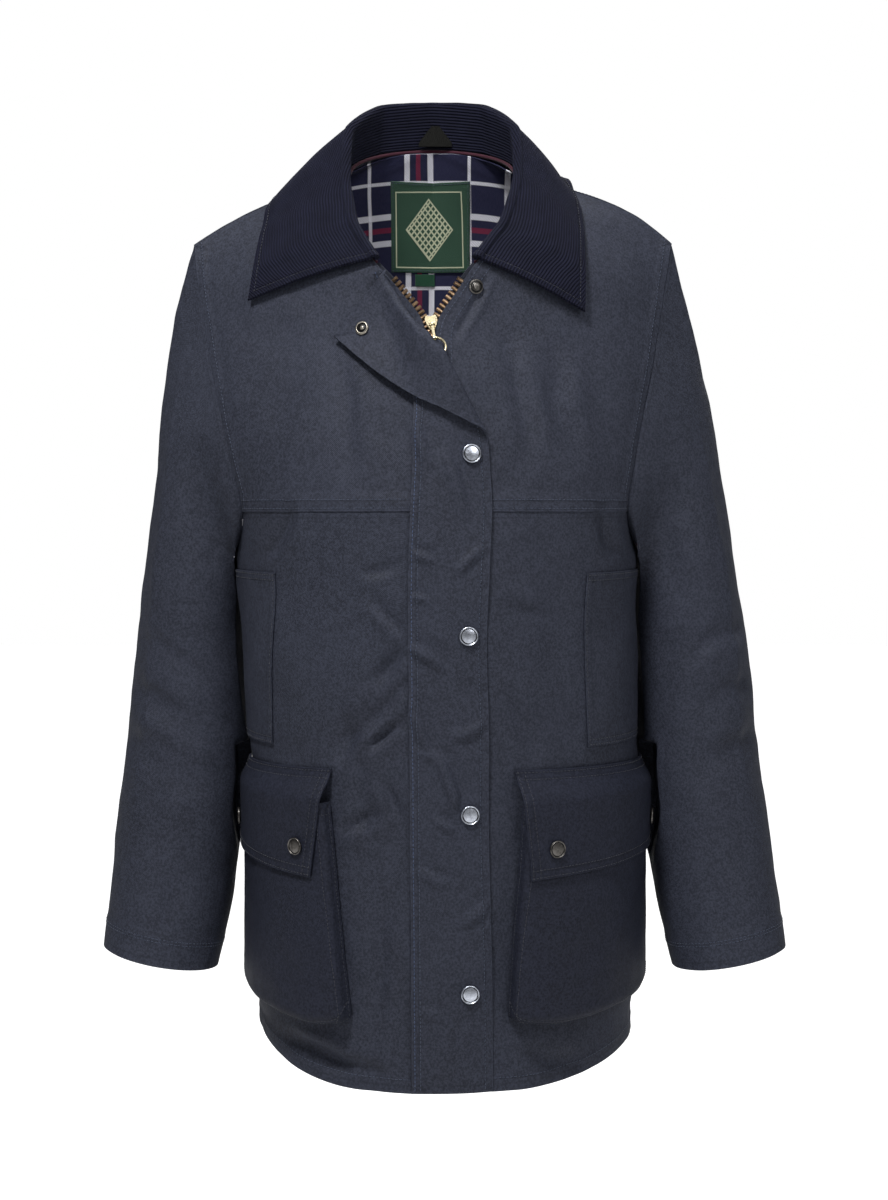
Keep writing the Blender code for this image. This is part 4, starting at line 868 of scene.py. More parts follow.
class Nodes:
    """Adds, sets and links the nodes of one tree."""

    def __init__(self, tree):
        self.tree = tree

    def wire(self, node, **inputs):
        """Sets or links a node's inputs, each by its name, or by its number after an underscore."""
        for name, value in inputs.items():
            key = int(name[1:]) if name[1:].isdigit() else name.replace("_", " ")
            if isinstance(value, bpy.types.NodeSocket):
                self.tree.links.new(value, node.inputs[key])
            else:
                node.inputs[key].default_value = value
        return node

    def add(self, kind, settings=None, **inputs):
        node = self.tree.nodes.new(kind)
        for name, value in (settings or {}).items():
            setattr(node, name, value)
        return self.wire(node, **inputs)

    def math(self, operation, *values):
        inputs = {f"_{k}": value for k, value in enumerate(values)}
        return self.add("ShaderNodeMath", {"operation": operation}, **inputs).outputs[0]

    plus = partialmethod(math, "ADD")
    minus = partialmethod(math, "SUBTRACT")
    times = partialmethod(math, "MULTIPLY")
    most = partialmethod(math, "MAXIMUM")

    def apart(self, first, second):
        """How far two values lie apart."""
        return self.math("ABSOLUTE", self.minus(first, second))

    def mix(self, factor, *colours):
        first, second = (c if isinstance(c, bpy.types.NodeSocket) else (*c, 1.0) for c in colours)
        return self.add("ShaderNodeMix", {"data_type": "RGBA"}, _0=factor, _6=first, _7=second).outputs[2]

    def range(self, value, low, high, start=0.0, end=1.0):
        return self.add("ShaderNodeMapRange", _0=value, _1=low, _2=high, _3=start, _4=end).outputs[0]

    def noise(self, vector, scale, detail=3.0, rough=0.55):
        node = self.add("ShaderNodeTexNoise", Vector=vector, Scale=scale, Detail=detail, Roughness=rough)
        return node.outputs[0]

    def bump(self, height, distance, strength=1.0, **under):
        node = self.add("ShaderNodeBump", Height=height, Distance=distance, Strength=strength, **under)
        return node.outputs[0]

    def group(self, name, **inputs):
        return self.add("ShaderNodeGroup", {"node_tree": group(name)}, **inputs).outputs

    def split(self, vector):
        return self.add("ShaderNodeSeparateXYZ", Vector=vector).outputs

    def joined(self, first, second):
        return self.add("ShaderNodeCombineXYZ", _0=first, _1=second).outputs[0]

    def place(self):
        return self.add("ShaderNodeTexCoord").outputs["Object"]

    def flat(self, name="UVMap"):
        return self.add("ShaderNodeUVMap", {"uv_map": name}).outputs[0]


class Finish(Nodes):
    """A material, whose Principled shader the other nodes feed."""

    def __init__(self, name, **values):
        self.made = bpy.data.materials.new(name)
        self.made.use_nodes = True
        super().__init__(self.made.node_tree)
        self.feed(**values)

    def feed(self, **inputs):
        self.wire(self.tree.nodes["Principled BSDF"], **inputs)
        return self.made


def toned(colour, times, more=0.0):
    return tuple(times * part + more for part in colour)


def new_group(name, inputs, outputs, kind="ShaderNodeTree"):
    """A node group: the helper that fills it, the sockets it takes in and the node it puts out by."""
    tree = bpy.data.node_groups.new(name, kind)
    for way, sockets in (("INPUT", inputs), ("OUTPUT", outputs)):
        for label, socket in sockets.items():
            tree.interface.new_socket(name=label, in_out=way, socket_type="NodeSocket" + socket)
    nodes = Nodes(tree)
    return nodes, nodes.add("NodeGroupInput").outputs, nodes.add("NodeGroupOutput")


def weave_group():
    """Plain weave: threads over and under each other, with a little slub."""
    s, start, end = new_group(
        "Weave", {"Flat Place": "Vector", "Pitch": "Float"}, {"Height": "Float", "Slub": "Float"})
    place = s.split(start["Flat Place"])
    turns = s.math("DIVIDE", math.pi, start["Pitch"])
    warp, weft = (s.math("SINE", s.times(place[k], turns)) for k in (0, 1))
    long = s.add("ShaderNodeMapping", Vector=start["Flat Place"], Scale=(2.2, 0.35, 1.0))
    s.wire(end, Height=s.times(warp, weft), Slub=s.noise(long.outputs[0], 900.0, 2.0))
    return s.tree


def wax_group():
    """Wax over cotton: soft patches, fine mottling and the faint rumples that the cloth keeps."""
    s, start, end = new_group(
        "Wax", {"Place": "Vector", "Rumple Size": "Float"},
        {"Patch": "Float", "Height": "Float", "Mottle": "Float"})
    place = start["Place"]
    patch = s.range(s.noise(place, 9.0, 5.0, 0.62), 0.32, 0.68)
    rumples = s.noise(place, s.math("DIVIDE", 1.0, start["Rumple Size"]), 4.0, 0.5)
    fine, broad = s.noise(place, 560.0, 1.0, 0.7), s.noise(place, 170.0, 2.0)
    mottle = s.range(s.plus(s.times(fine, 0.75), s.times(broad, 0.25)), 0.40, 0.60)
    s.wire(end, Patch=patch, Height=rumples, Mottle=mottle)
    return s.tree


def seam_group():
    """What stitching does to cloth: small puckers beside a seam, a groove (a bump on the corduroy, painted
    shade on the waxed cotton), and wear on the raised edge.
    """
    s, start, end = new_group(
        "Seam Wear", {"Seam Place": "Vector", "Reach": "Float"},
        {"Wear": "Float", "Pucker": "Float", "Groove": "Float"})
    distance, along, _ = s.split(start["Seam Place"])
    near = s.most(s.minus(1.0, s.math("DIVIDE", distance, start["Reach"])), 0.0)
    line = s.joined(s.times(distance, 0.35), along)
    edge = s.range(distance, 0.0, 0.0022, 1.0, 0.0)
    worn = s.range(s.noise(line, 60.0, 3.0), 0.35, 0.7)
    groove = s.range(s.apart(distance, 0.0065), 0.0, 0.0012, 1.0, 0.0)
    s.wire(end, Wear=s.times(edge, worn), Pucker=s.times(near, s.noise(line, 150.0, 2.0)), Groove=groove)
    return s.tree


@cache
def group(name):
    return {"weave": weave_group, "wax": wax_group, "seam": seam_group}[name]()


def waxed_cotton(name, colour, cloth):
    """Dull cotton with patches of wax, worn pale along its seams, with painted shade in the groove beside
    each seam.
    """
    s = Finish(name, Specular_IOR_Level=0.15)
    weave = s.group("weave", Flat_Place=s.flat(), Pitch=cloth.weave_pitch)
    wax = s.group("wax", Place=s.place(), Rumple_Size=cloth.rumple_size)
    seam = s.group("seam", Seam_Place=s.flat("Seam"), Reach=0.014)
    dark, worn = toned(colour, 0.62), toned(colour, 2.3, 0.003)
    base = s.mix(wax["Patch"], dark, toned(colour, 0.98))
    slub = s.range(weave["Slub"], 0.36, 0.64)
    for mask, share in ((slub, 0.26), (wax["Mottle"], 0.50), (seam["Wear"], 0.35)):
        base = s.mix(s.times(mask, share), base, worn)
    # Painted shade: the groove beside each seam is darkened.
    base = s.mix(s.times(seam["Groove"], 0.35), base, dark)
    normal = s.bump(weave["Height"], 0.00012, 0.55)
    normal = s.bump(wax["Height"], 0.0016, 0.6, Normal=normal)
    normal = s.bump(seam["Pucker"], 0.0012, 0.8, Normal=normal)
    return s.feed(Base_Color=base, Roughness=s.range(wax["Patch"], 0.0, 1.0, 0.58, 0.74), Normal=normal)


def corduroy(name, colour, cloth):
    """Ridges that run the collar's length, round-topped, painted dark between them as shade and pale on their
    crowns, partly as wear and partly as a painted highlight.
    """
    s = Finish(name, Roughness=0.92, Sheen_Weight=0.05, Sheen_Roughness=0.35, Specular_IOR_Level=0.12,
               Sheen_Tint=(0.30, 0.33, 0.55, 1.0))
    flat = s.flat()
    across = s.plus(s.split(flat)[0], s.times(s.noise(flat, 25.0, 2.0), 0.0006))
    wave = s.math("ABSOLUTE", s.math("SINE", s.times(across, math.pi / cloth.wale_pitch)))
    ridge = s.math("POWER", wave, 0.7)
    pile = s.noise(flat, 2600.0, 2.0)
    # The colour runs from painted shade in the valleys to a painted highlight on the crowns, varied in
    # patches as wear.
    tone = s.times(ridge, s.range(s.noise(flat, 60.0, 3.0), 0.25, 0.75, 0.55, 1.0))
    base = s.mix(tone, toned(colour, 0.15), toned(colour, 1.75))
    base = s.mix(s.times(s.range(pile, 0.45, 0.75), 0.25), base, toned(colour, 2.3))
    seam = s.group("seam", Seam_Place=s.flat("Seam"), Reach=0.012)
    normal = s.bump(s.plus(ridge, s.times(pile, 0.22)), 0.0010)
    normal = s.bump(s.minus(seam["Pucker"], seam["Groove"]), 0.0012, 0.7, Normal=normal)
    return s.feed(Base_Color=base, Normal=normal)


CHECKS = {
    "across": (0.0870, table(
        "middle width yarn",
        (0.0200, 0.0048, 0), (0.0300, 0.0040, 1), (0.0405, 0.0048, 0), (0.0745, 0.0028, 0))),
    "along": (0.1135, table(
        "middle width yarn",
        (0.0018, 0.0028, 0), (0.0290, 0.0050, 0), (0.0400, 0.0044, 1), (0.0510, 0.0050, 0),
        (0.0905, 0.0030, 0))),
}
STRIPE_EDGE = 0.0003  # how soft a stripe's edges are
TWILL_PITCH = 0.0022
WHITE_YARN, RED_YARN, DUST = (0.86, 0.86, 0.93), (0.16, 0.010, 0.035), (0.05, 0.05, 0.09)


def check_stripes(s, way, place, shift):
    """How much white and red yarn shows in one direction of the check."""
    repeat, stripes = CHECKS[way]
    part = s.math("WRAP", s.plus(place, shift), repeat, 0.0)
    masks = [0.0, 0.0]
    for middle, width, yarn in zip(*stripes.values()):
        half = float(width) / 2
        stripe = s.range(s.apart(part, float(middle)), half - STRIPE_EDGE, half + STRIPE_EDGE, 1.0, 0.0)
        masks[int(yarn)] = s.most(masks[int(yarn)], stripe)
    return masks


def checked_lining(name, colour, cloth):
    """Checked twill, whose rows bend down a little to both sides of the centre back."""
    s = Finish(name, Roughness=0.88, Sheen_Weight=0.03, Specular_IOR_Level=0.25)
    place = s.place()
    x, _, z = s.split(place)
    wander = s.times(s.minus(s.noise(place, 14.0, 2.0), 0.5), 0.003)
    across = check_stripes(s, "across", s.plus(x, wander), cloth.check_shift[0])
    from_middle = s.math("POWER", s.minus(x, NECK_MIDDLE), 2.0)
    down = s.minus(s.times(from_middle, -1.6), z)
    along = check_stripes(s, "along", s.plus(down, wander), cloth.check_shift[1])
    weave = s.group("weave", Flat_Place=s.joined(x, z), Pitch=0.0007)
    twill = s.math("SINE", s.times(s.plus(x, z), 2 * math.pi / TWILL_PITCH))
    white = s.times(s.most(across[0], along[0]), s.range(twill, -0.5, 0.7, 0.62, 0.90))
    white = s.most(white, s.times(s.times(across[0], along[0]), 0.96))
    white = s.times(white, s.range(weave["Height"], -0.3, 0.3, 0.90, 1.0))
    red = s.math("MINIMUM", s.plus(across[1], along[1]), 1.0)
    base = s.mix(s.times(red, 0.85), colour, RED_YARN)
    base = s.mix(white, base, WHITE_YARN)
    base = s.mix(s.times(s.range(weave["Slub"], 0.35, 0.7), 0.22), base, DUST)
    normal = s.bump(weave["Height"], 0.00018, 0.6)
    normal = s.bump(s.noise(place, 55.0, 3.0), 0.0010, 0.5, Normal=normal)
    return s.feed(Base_Color=base, Normal=normal)


def plain_weave(name, colour, pitch, sheen=0.12):
    """Tape, loop, piping and size tab: a close weave in one colour."""
    s = Finish(name, Roughness=0.82, Sheen_Weight=sheen, Specular_IOR_Level=0.2)
    height = s.group("weave", Flat_Place=s.flat(), Pitch=pitch)["Height"]
    base = s.mix(s.range(height, -0.6, 0.8), toned(colour, 0.7), toned(colour, 1.7, 0.0008))
    return s.feed(Base_Color=base, Normal=s.bump(height, 0.00015, 0.8))


def metal(name, colour, roughness, worn, scratch):
    """Plated metal with fine scratches, dulled in patches."""
    s = Finish(name, Metallic=1.0)
    place = s.place()
    patch = s.range(s.noise(place, 260.0, 4.0), 0.35, 0.7)
    lines = s.add("ShaderNodeMapping", Vector=place, Scale=(1.0, 1.0, 0.12))
    fine = s.noise(lines.outputs[0], 4200.0, 2.0)
    return s.feed(
        Base_Color=s.mix(patch, colour, worn), Normal=s.bump(fine, 0.00003, 0.5),
        Roughness=s.range(fine, 0.3, 0.7, roughness - 0.06, roughness + scratch))


def sewing_thread(name, colour):
    s = Finish(name, Roughness=0.7, Sheen_Weight=0.2)
    twist = s.noise(s.place(), 1500.0, 1.0)
    return s.feed(Base_Color=s.mix(twist, toned(colour, 0.6), toned(colour, 1.5)))


# The neck label's own design: a border line and a trellis inside a diamond.
TRELLIS = {"border": 0.0045, "half_width": 0.021, "half_height": 0.027, "pitch": 0.0052, "slope": 0.78}


def label_cloth(name, colour, cream):
    """Woven green cloth with a cream border and a plain diamond trellis in the middle, without any words."""
    s = Finish(name, Roughness=0.8, Sheen_Weight=0.1)
    flat = s.flat()
    height = s.group("weave", Flat_Place=flat, Pitch=0.00045)["Height"]
    x, y, _ = s.split(flat)
    half, tall = ((LABEL[way][1] - LABEL[way][0]) / 2 for way in ("x", "z"))
    from_x, from_y = s.apart(x, half), s.apart(y, tall)
    inside = [s.minus(size - TRELLIS["border"], away) for size, away in ((half, from_x), (tall, from_y))]
    border = s.range(s.math("ABSOLUTE", s.math("MINIMUM", *inside)), 0.0004, 0.0007, 1.0, 0.0)
    diamond = s.plus(
        s.math("DIVIDE", from_x, TRELLIS["half_width"]), s.math("DIVIDE", from_y, TRELLIS["half_height"]))
    field = s.range(diamond, 0.98, 1.0, 1.0, 0.0)
    outline = s.range(s.apart(diamond, 1.0), 0.025, 0.045, 1.0, 0.0)
    bars = []
    for way in (s.plus, s.minus):
        phase = s.math("WRAP", way(x, s.times(y, TRELLIS["slope"])), TRELLIS["pitch"], 0.0)
        bars.append(s.range(s.apart(phase, TRELLIS["pitch"] / 2), 0.0007, 0.0010, 1.0, 0.0))
    woven = s.most(s.most(s.times(s.most(*bars), field), outline), border)
    base = s.mix(s.range(height, -0.6, 0.8), toned(colour, 0.75), toned(colour, 1.35))
    base = s.mix(s.times(woven, 0.92), base, cream)
    return s.feed(Base_Color=base, Normal=s.bump(s.plus(height, s.times(woven, 1.4)), 0.00018, 0.8))


# Each metal's name, colour, roughness, worn colour and how much scratches roughen it.
METALS = {
    "gold": ("pale gold plate", (0.86, 0.76, 0.52), 0.26, (0.62, 0.52, 0.32), 0.10),
    "brass": ("antique brass", (0.46, 0.31, 0.19), 0.34, (0.15, 0.10, 0.06), 0.14),
    "steel": ("bright stud", (0.62, 0.66, 0.74), 0.30, (0.38, 0.40, 0.46), 0.10),
    "ring": ("stud ring", (0.40, 0.37, 0.32), 0.38, (0.20, 0.18, 0.15), 0.12),
    "pewter": ("dark stud", (0.17, 0.16, 0.15), 0.34, (0.07, 0.065, 0.06), 0.12),
    # Not a metal's own colour: near black, painted as shade in the hollows of the studs and the socket.
    "socket_dark": ("socket inside", (0.03, 0.03, 0.03), 0.5, (0.01, 0.01, 0.01), 0.1),
}


@cache
def finish(name):
    """One of the jacket's materials, made the first time that it is asked for."""
    cloth, trim = bpy.context.scene.jacket_cloth, bpy.context.scene.jacket_trim
    if name in METALS:
        return metal(*METALS[name])
    return {
        "wax": lambda: waxed_cotton("wax cotton", tuple(cloth.wax_colour), cloth),
        "pocket_wax": lambda: waxed_cotton("pocket wax cotton", tuple(cloth.pocket_colour), cloth),
        "corduroy": lambda: corduroy("needlecord", tuple(cloth.corduroy_colour), cloth),
        "lining": lambda: checked_lining("checked lining", tuple(cloth.lining_colour), cloth),
        "tape": lambda: plain_weave("zip tape", (0.010, 0.012, 0.020), 0.0006),
        "loop": lambda: plain_weave("loop tape", (0.0016, 0.0016, 0.0010), 0.0008, sheen=0.0),
        "piping": lambda: plain_weave("neck piping", (0.035, 0.006, 0.014), 0.0008),
        "tab": lambda: plain_weave("size tab cloth", tuple(trim.label_colour), 0.00045),
        "label": lambda: label_cloth("label cloth", tuple(trim.label_colour), (0.50, 0.52, 0.36)),
        "thread": lambda: sewing_thread("sewing thread", tuple(trim.thread_colour)),
        "dark_thread": lambda: sewing_thread("dark thread", (0.009, 0.011, 0.021)),
        "bright_thread": lambda: sewing_thread("bright thread", (0.036, 0.062, 0.140)),
    }[name]()


# --- pieces ------------------------------------------------


@cache
def shell():
    return Shell()


def front_ids(side):
    """The point numbers of a whole front: its lower panel, then its yoke."""
    lower, upper = (shell().panels[name + SIDE_NAMES[side]][0].ids for name in ("front_", "front_yoke_"))
    return np.concatenate((lower, upper[1:]))


def tree_of(points, faces):
    return BVHTree.FromPolygons(points.tolist(), faces.tolist())


@cache
def carrier():
    """The fronts with the opening between them bridged: what lies across the opening is set on it."""
    right, left = (front_ids(side)[:V_ROW * DETAIL + 1, 0] for side in (RIGHT, LEFT))
    bridge = np.stack((right[:-1], left[:-1], left[1:], right[1:]), axis=1)
    return tree_of(shell().calm, np.concatenate((shell().quads, bridge)))


def on_carrier(tree, x, z):
    """The point of the front at this X and Z, and its outward normal."""
    spot, normal, _, _ = tree.ray_cast(Vector((x, -1.0, z)), Vector((0.0, 1.0, 0.0)))
    normal = np.array(normal)
    return np.array(spot), normal if normal[1] < 0 else -normal


# How panels lap at their seams: which edge stands over its neighbour, how far, and over what width.
PANEL_LAPS = (
    ("front_yoke_", "low", SEAM_LAP, LAP_WIDTH), ("front_yoke_", "right", 0.0006, LAP_WIDTH),
    ("back", "high", SEAM_LAP, LAP_WIDTH), ("back", "right", 0.0006, LAP_WIDTH),
    ("front_l", "low", 0.0005, 0.013), ("front_r", "low", 0.0005, 0.013), ("back", "low", 0.0005, 0.013),
    ("sleeve_", "high", 0.0006, 0.024),
)
# The rows of stitches on each panel: along which edge, and how far from it.
PANEL_STITCHES = (
    ("front_yoke_", "low", (0.0020, 0.0080)), ("front_yoke_", "right", (0.0075,)),
    ("back", "high", (0.0020, 0.0080)), ("back", "right", (0.0075,)),
    ("front_l", "low", (0.0115,)), ("front_r", "low", (0.0115,)), ("back", "low", (0.0115,)),
    ("front_yoke_left", "left", (0.0045, 0.0135)),
    ("sleeve_", "high", (0.0200, 0.0225)),
)


# Which edges of a panel are sewn or turned, where it isn't all four.
PANEL_EDGES = {
    "back": ("right", "low", "high"),
    "sleeve_right": ("low", "high"),
    "sleeve_left": ("low", "high"),
}


def make_panel(name):
    """One panel of the garment, with its laps, hem and stitches."""
    skin, sheets = shell(), shell().panels[name]
    points = skin.points.copy()
    for sheet in sheets:
        lift = np.zeros(sheet.ids.shape)
        for start, edge, height, width in PANEL_LAPS:
            if name.startswith(start):
                lift = np.maximum(lift, height * sheet.band(edge, width))
        grid = points[sheet.ids] + skin.normals[sheet.ids] * lift[..., None]
        if name.startswith("front_yoke_"):
            grid[0] += unit(grid[0] - grid[1]) * LAP_REACH
        points[sheet.ids] = grid
    for sheet, (start, edge, offsets) in product(sheets, PANEL_STITCHES):
        if name.startswith(start):
            sew(sheet, points, skin.normals, edge, offsets)
    cloth_piece(name, points, skin.normals, sheets, CLOTH, finish("wax"), finish("lining"),
                PANEL_EDGES.get(name, EDGES))


class FrontPanel:
    """A lower front as a map: how far round (0 to 1), the level and the lift give a point."""

    def __init__(self, side, calm=True):
        ids = front_ids(side)[:YOKE_ROW * DETAIL + 1]
        skin = shell()
        self.points = (skin.calm if calm else skin.points)[ids]
        self.normals = (skin.calm_normals if calm else skin.normals)[ids]

    def __call__(self, t, z, lift):
        column = min(max(t, 0.0), 0.9999) * COLUMNS * DETAIL
        j = int(column)
        f = column - j
        points = self.points[:, j] * (1 - f) + self.points[:, j + 1] * f
        normals = self.normals[:, j] * (1 - f) + self.normals[:, j + 1] * f
        i = int(np.clip(np.searchsorted(points[:, 2], z) - 1, 0, len(points) - 2))
        g = (z - points[i, 2]) / (points[i + 1, 2] - points[i, 2])
        normal = unit(normals[i] * (1 - g) + normals[i + 1] * g)
        return points[i] * (1 - g) + points[i + 1] * g + normal * lift


def flattened(t):
    """How much less a pocket stands off the front toward the side seam."""
    return 1 - SIDE_FLATTENING * ease((t - 0.45) / 0.5)


def pocket_stand(t, z):
    """How far a pocket's outer face stands off the front."""
    return between(POCKET_DEPTH, ease((POCKET_TOP - z) / (POCKET_TOP - POCKET_FOOT[0]))) * flattened(t)


# A pocket's section: how far across or up it, and the share of its depth there.
POCKET_RISE = table(
    "up part",
    (0.0, 0.0), (0.035, 0.90), (0.12, 1.0), (0.3, 1.0), (0.5, 1.0), (0.75, 1.0), (1.0, 1.0),
)
POCKET_ACROSS = table(
    "across part",
    (0.0, 0.0), (0.02, 0.85), (0.07, 1.0), (0.2, 1.0), (0.34, 1.0), (0.48, 1.0),
    (0.62, 1.0), (0.76, 1.0), (0.89, 1.0), (0.965, 0.85), (1.0, 0.0),
)
POCKET_SLACK = table(  # soft dents in the pockets' faces
    "across up size depth",
    (0.30, 0.30, 0.10, 0.0016), (0.62, 0.22, 0.09, 0.0014),
    (0.20, 0.62, 0.08, 0.0012), (0.75, 0.60, 0.10, 0.0012),
)
POCKET_SEAT = POCKET_CLOTH + 0.0010  # from the front to the outer face where a pocket is sewn down
POCKET_CORNER = 0.012  # how far a pocket's lower corners are rounded up


def pocket_dent(across, up):
    return sum(
        depth * math.exp(-(((across - a) ** 2 + (up - b) ** 2) / size ** 2))
        for a, b, size, depth in zip(*POCKET_SLACK.values())
    )


def make_pocket(side):
    """A tray of cloth, open at the top and backed by the front: gussets at its sides and bottom."""
    plan, panel = POCKET[side], FrontPanel(side)
    grid = []
    for up, part in zip(*POCKET_RISE.values()):
        front = between((plan["front_foot"], plan["front_top"]), up)
        row = []
        for across, rise in zip(*POCKET_ACROSS.values()):
            t = between((front, POCKET_SIDE), across)
            corner = POCKET_CORNER * (2 * across - 1) ** 6 * (1 - up) ** 3
            z = between((between(POCKET_FOOT, across) + corner, POCKET_TOP), up)
            stand = (pocket_stand(t, z) - pocket_dent(across, up)) * rise * part
            row.append(panel(t, z, POCKET_SEAT + stand))
        grid.append(row)
    rows = {"left": (0.0150, 0.0030), "right": (0.0030,), "low": (0.0150, 0.0030), "high": (0.010,)}
    grid = refine_both(grid, 2 * DETAIL, DETAIL)
    grid_piece("pocket_" + SIDE_NAMES[side], grid, POCKET_CLOTH, "pocket_wax", side == RIGHT,
               sway=0.0007, seed=21 + side, rows=rows, inset=0.006)


def flap_stand(t, down):
    """How far a pocket flap's outer face stands off the front, by the share of its height."""
    over = POCKET_DEPTH[0] * flattened(t) + 0.0022
    return POCKET_SEAT + over * ease(down / 0.30) + 0.0015 * down


def make_pocket_flap(side):
    """A flap over the pocket's mouth, with its two studs."""
    plan, panel, name = POCKET[side], FrontPanel(side), SIDE_NAMES[side]
    grid = []
    for down in np.linspace(1.0, 0.0, 8 * DETAIL):
        front = between((plan["flap_top"], plan["flap_foot"]), down)
        row = []
        for across in np.linspace(0.0, 1.0, 9 * DETAIL):
            t = between((front, POCKET_SIDE), across)
            z = between((between(FLAP_TOP, across), between(FLAP_FOOT, across)), down)
            row.append(panel(t, z, flap_stand(t, down)))
        grid.append(row)
    double = (0.0020, 0.0080)
    rows = {"left": double, "right": (0.0020,), "low": double, "high": double}
    grid_piece("pocket_flap_" + name, grid, POCKET_CLOTH, "pocket_wax", side == RIGHT,
               sway=0.0003, seed=31 + side, rows=rows)
    for place, t, z in zip(("front", "side"), POCKET_STUD[side], POCKET_STUD_Z):
        lift = flap_stand(t, (FLAP_TOP[0] - z) / (FLAP_TOP[0] - FLAP_FOOT[0])) + 0.0005
        spot = panel(t, z, lift)
        axis = unit(panel(t, z, lift + 0.01) - spot)
        make_cap(f"stud_pocket_{name}_{place}", spot, axis, FRONT_STUD_RADIUS - 0.0005, "pewter")


def make_handwarmer(side):
    """The patch of cloth laid over the side slit, sewn along its top, its foot and its front."""
    panel, plan = FrontPanel(side, calm=False), HANDWARMER
    top, foot = HANDWARMER_FRONT[side]
    grid = []
    for up in np.linspace(0.0, 1.0, 8 * DETAIL):
        z = between((plan["foot"], plan["top"]), up)
        places = np.linspace(between((foot, top), up), plan["side"], 6 * DETAIL)
        grid.append([panel(t, z, LINING_CLOTH + 0.0007) for t in places])
    grid_piece("handwarmer_" + SIDE_NAMES[side], grid, LINING_CLOTH, "wax", side == RIGHT,
               rows={"left": (0.0018,), "high": (0.0018, 0.0060), "low": (0.0018, 0.0060)})


# --- the storm flap ----------------------------------------

FLAP_CREASES = table(
    "face x1 z1 x2 z2 bow width depth lip",
    (-1, -0.0235, -0.1800, -0.0090, -0.2280, -0.003, 0.0050, 0.0016, 0.5),
    (-1, -0.0030, -0.2120, 0.0160, -0.2700, 0.003, 0.0055, 0.0018, 0.5),
    (-1, -0.0260, -0.2940, -0.0080, -0.3010, 0.001, 0.0030, 0.0014, 0.5),
    (-1, -0.0270, -0.3280, -0.0100, -0.3330, 0.001, 0.0030, 0.0016, 0.5),
    (-1, -0.0270, -0.3660, 0.0000, -0.3880, 0.002, 0.0040, 0.0026, 0.5),
    (-1, -0.0250, -0.4080, -0.0085, -0.4560, -0.003, 0.0045, 0.0026, 0.5),
    (-1, -0.0105, -0.4480, 0.0115, -0.4990, 0.003, 0.0050, 0.0026, 0.5),
    (-1, -0.0090, -0.5030, 0.0090, -0.5130, 0.001, 0.0035, 0.0014, 0.5),
    (-1, 0.0330, -0.2900, 0.0100, -0.3120, -0.002, 0.0040, 0.0012, 0.4),
    (-1, 0.0330, -0.4250, 0.0050, -0.4400, 0.002, 0.0045, 0.0014, 0.4),
    (-1, -0.0260, -0.4500, -0.0060, -0.4580, 0.001, 0.0035, 0.0010, 0.4),
    (-1, -0.0260, -0.5450, 0.0020, -0.5600, 0.002, 0.0045, 0.0014, 0.4),
    (-1, 0.0350, -0.5700, 0.0120, -0.5900, 0.002, 0.0045, 0.0012, 0.4),
    (-1, -0.0250, -0.6550, 0.0000, -0.6680, 0.002, 0.0045, 0.0014, 0.4),
    (-1, 0.0020, -0.6000, -0.0020, -0.7150, 0.004, 0.0060, 0.0012, 0.3),
)


def fold_x(z):
    """X of the line along which the flap's corner turns back."""
    return TURN_TOP[0] + TURN_RUN[0] / TURN_RUN[1] * (z - TURN_TOP[1])


def flap_height(x, z, base):
    """How far the middle of the storm flap lies off the fronts at a spot."""
    fold = fold_x(min(max(z, TURN_FOOT[1]), TURN_TOP[1]))
    across = ease((x - base) / max(fold - base, 0.012))
    stand = FLAP_STAND * math.exp(-(((z - STAND_PLACE) / STAND_SPREAD) ** 2)) * across
    return FLAP_LIFT + CLOTH / 2 + stand


def turned_back(x, z):
    """Folds the flap's corner over: a flat spot's new X and Z, and its rise."""
    beyond = np.array((-TURN_RUN[1], TURN_RUN[0]))
    past = float((np.array((x, z)) - TURN_TOP) @ beyond) + FLAP_ROLL
    if past <= 0:
        return x, z, 0.0
    angle = min(past / FLAP_ROLL, math.pi)
    rest = past - angle * FLAP_ROLL
    new_x, new_z = np.array((x, z)) + beyond * (FLAP_ROLL * math.sin(angle) - rest - past)
    settle = 1 - 0.35 * ease(rest / 0.06)
    return new_x, new_z, FLAP_ROLL * (1 - math.cos(angle)) * settle


def facing_grid(grid):
    """A grid as one list of points, with its faces and the way that it faces at each point."""
    points = grid.reshape(-1, 3)
    quads = quad_ids(np.arange(len(points)).reshape(grid.shape[:2]), False, False)
    return points, quads, vertex_normals(points, quads)


@cache
def flap_grid():
    """The storm flap's middle surface. Its creases stand up, clear of the zip."""
    grid = []
    top = FLAP["z"][-1]
    roll = FLAP_ROLL / abs(TURN_RUN[1])
    for z in np.linspace(FLAP["z"][0], top, (FLAP_ROWS - 1) * DETAIL + 1):
        base, free = flap_edges(z)
        start = min(fold_x(z) - roll, free)
        end = min(start + math.pi * roll, free)
        share = ease((free - start - 0.004) / 0.016)
        row = []
        for j in np.linspace(0, FLAP_COLUMNS, FLAP_COLUMNS * DETAIL // 2 + 1):
            even = base + (free - base) * j / FLAP_COLUMNS
            rolled = np.interp(j, (0, 3, 8, FLAP_COLUMNS), (base, start, end, free))
            x = even + (float(rolled) - even) * share
            up = z + FLAP_SLANT * (x - base) / (free - base) * ease((z - TURN_FOOT[1]) / (top - TURN_FOOT[1]))
            new_x, new_z, rise = turned_back(x, up)
            spot, normal = on_carrier(carrier(), new_x, new_z)
            row.append(spot + normal * (flap_height(new_x, new_z, base) + rise))
        grid.append(row)
    grid = np.array(grid)
    points, _, normals = facing_grid(grid)
    rise = np.clip(crease_depth(points, normals, FLAP_CREASES, 2.4, 0.25), -0.0007, 0.0045)
    for x, z in zip(*FLAP_STUDS.values()):
        rise = rise * ease((np.hypot(points[:, 0] - x, points[:, 2] - z) - 0.008) / 0.010)
    return (points + normals * rise[:, None]).reshape(grid.shape)


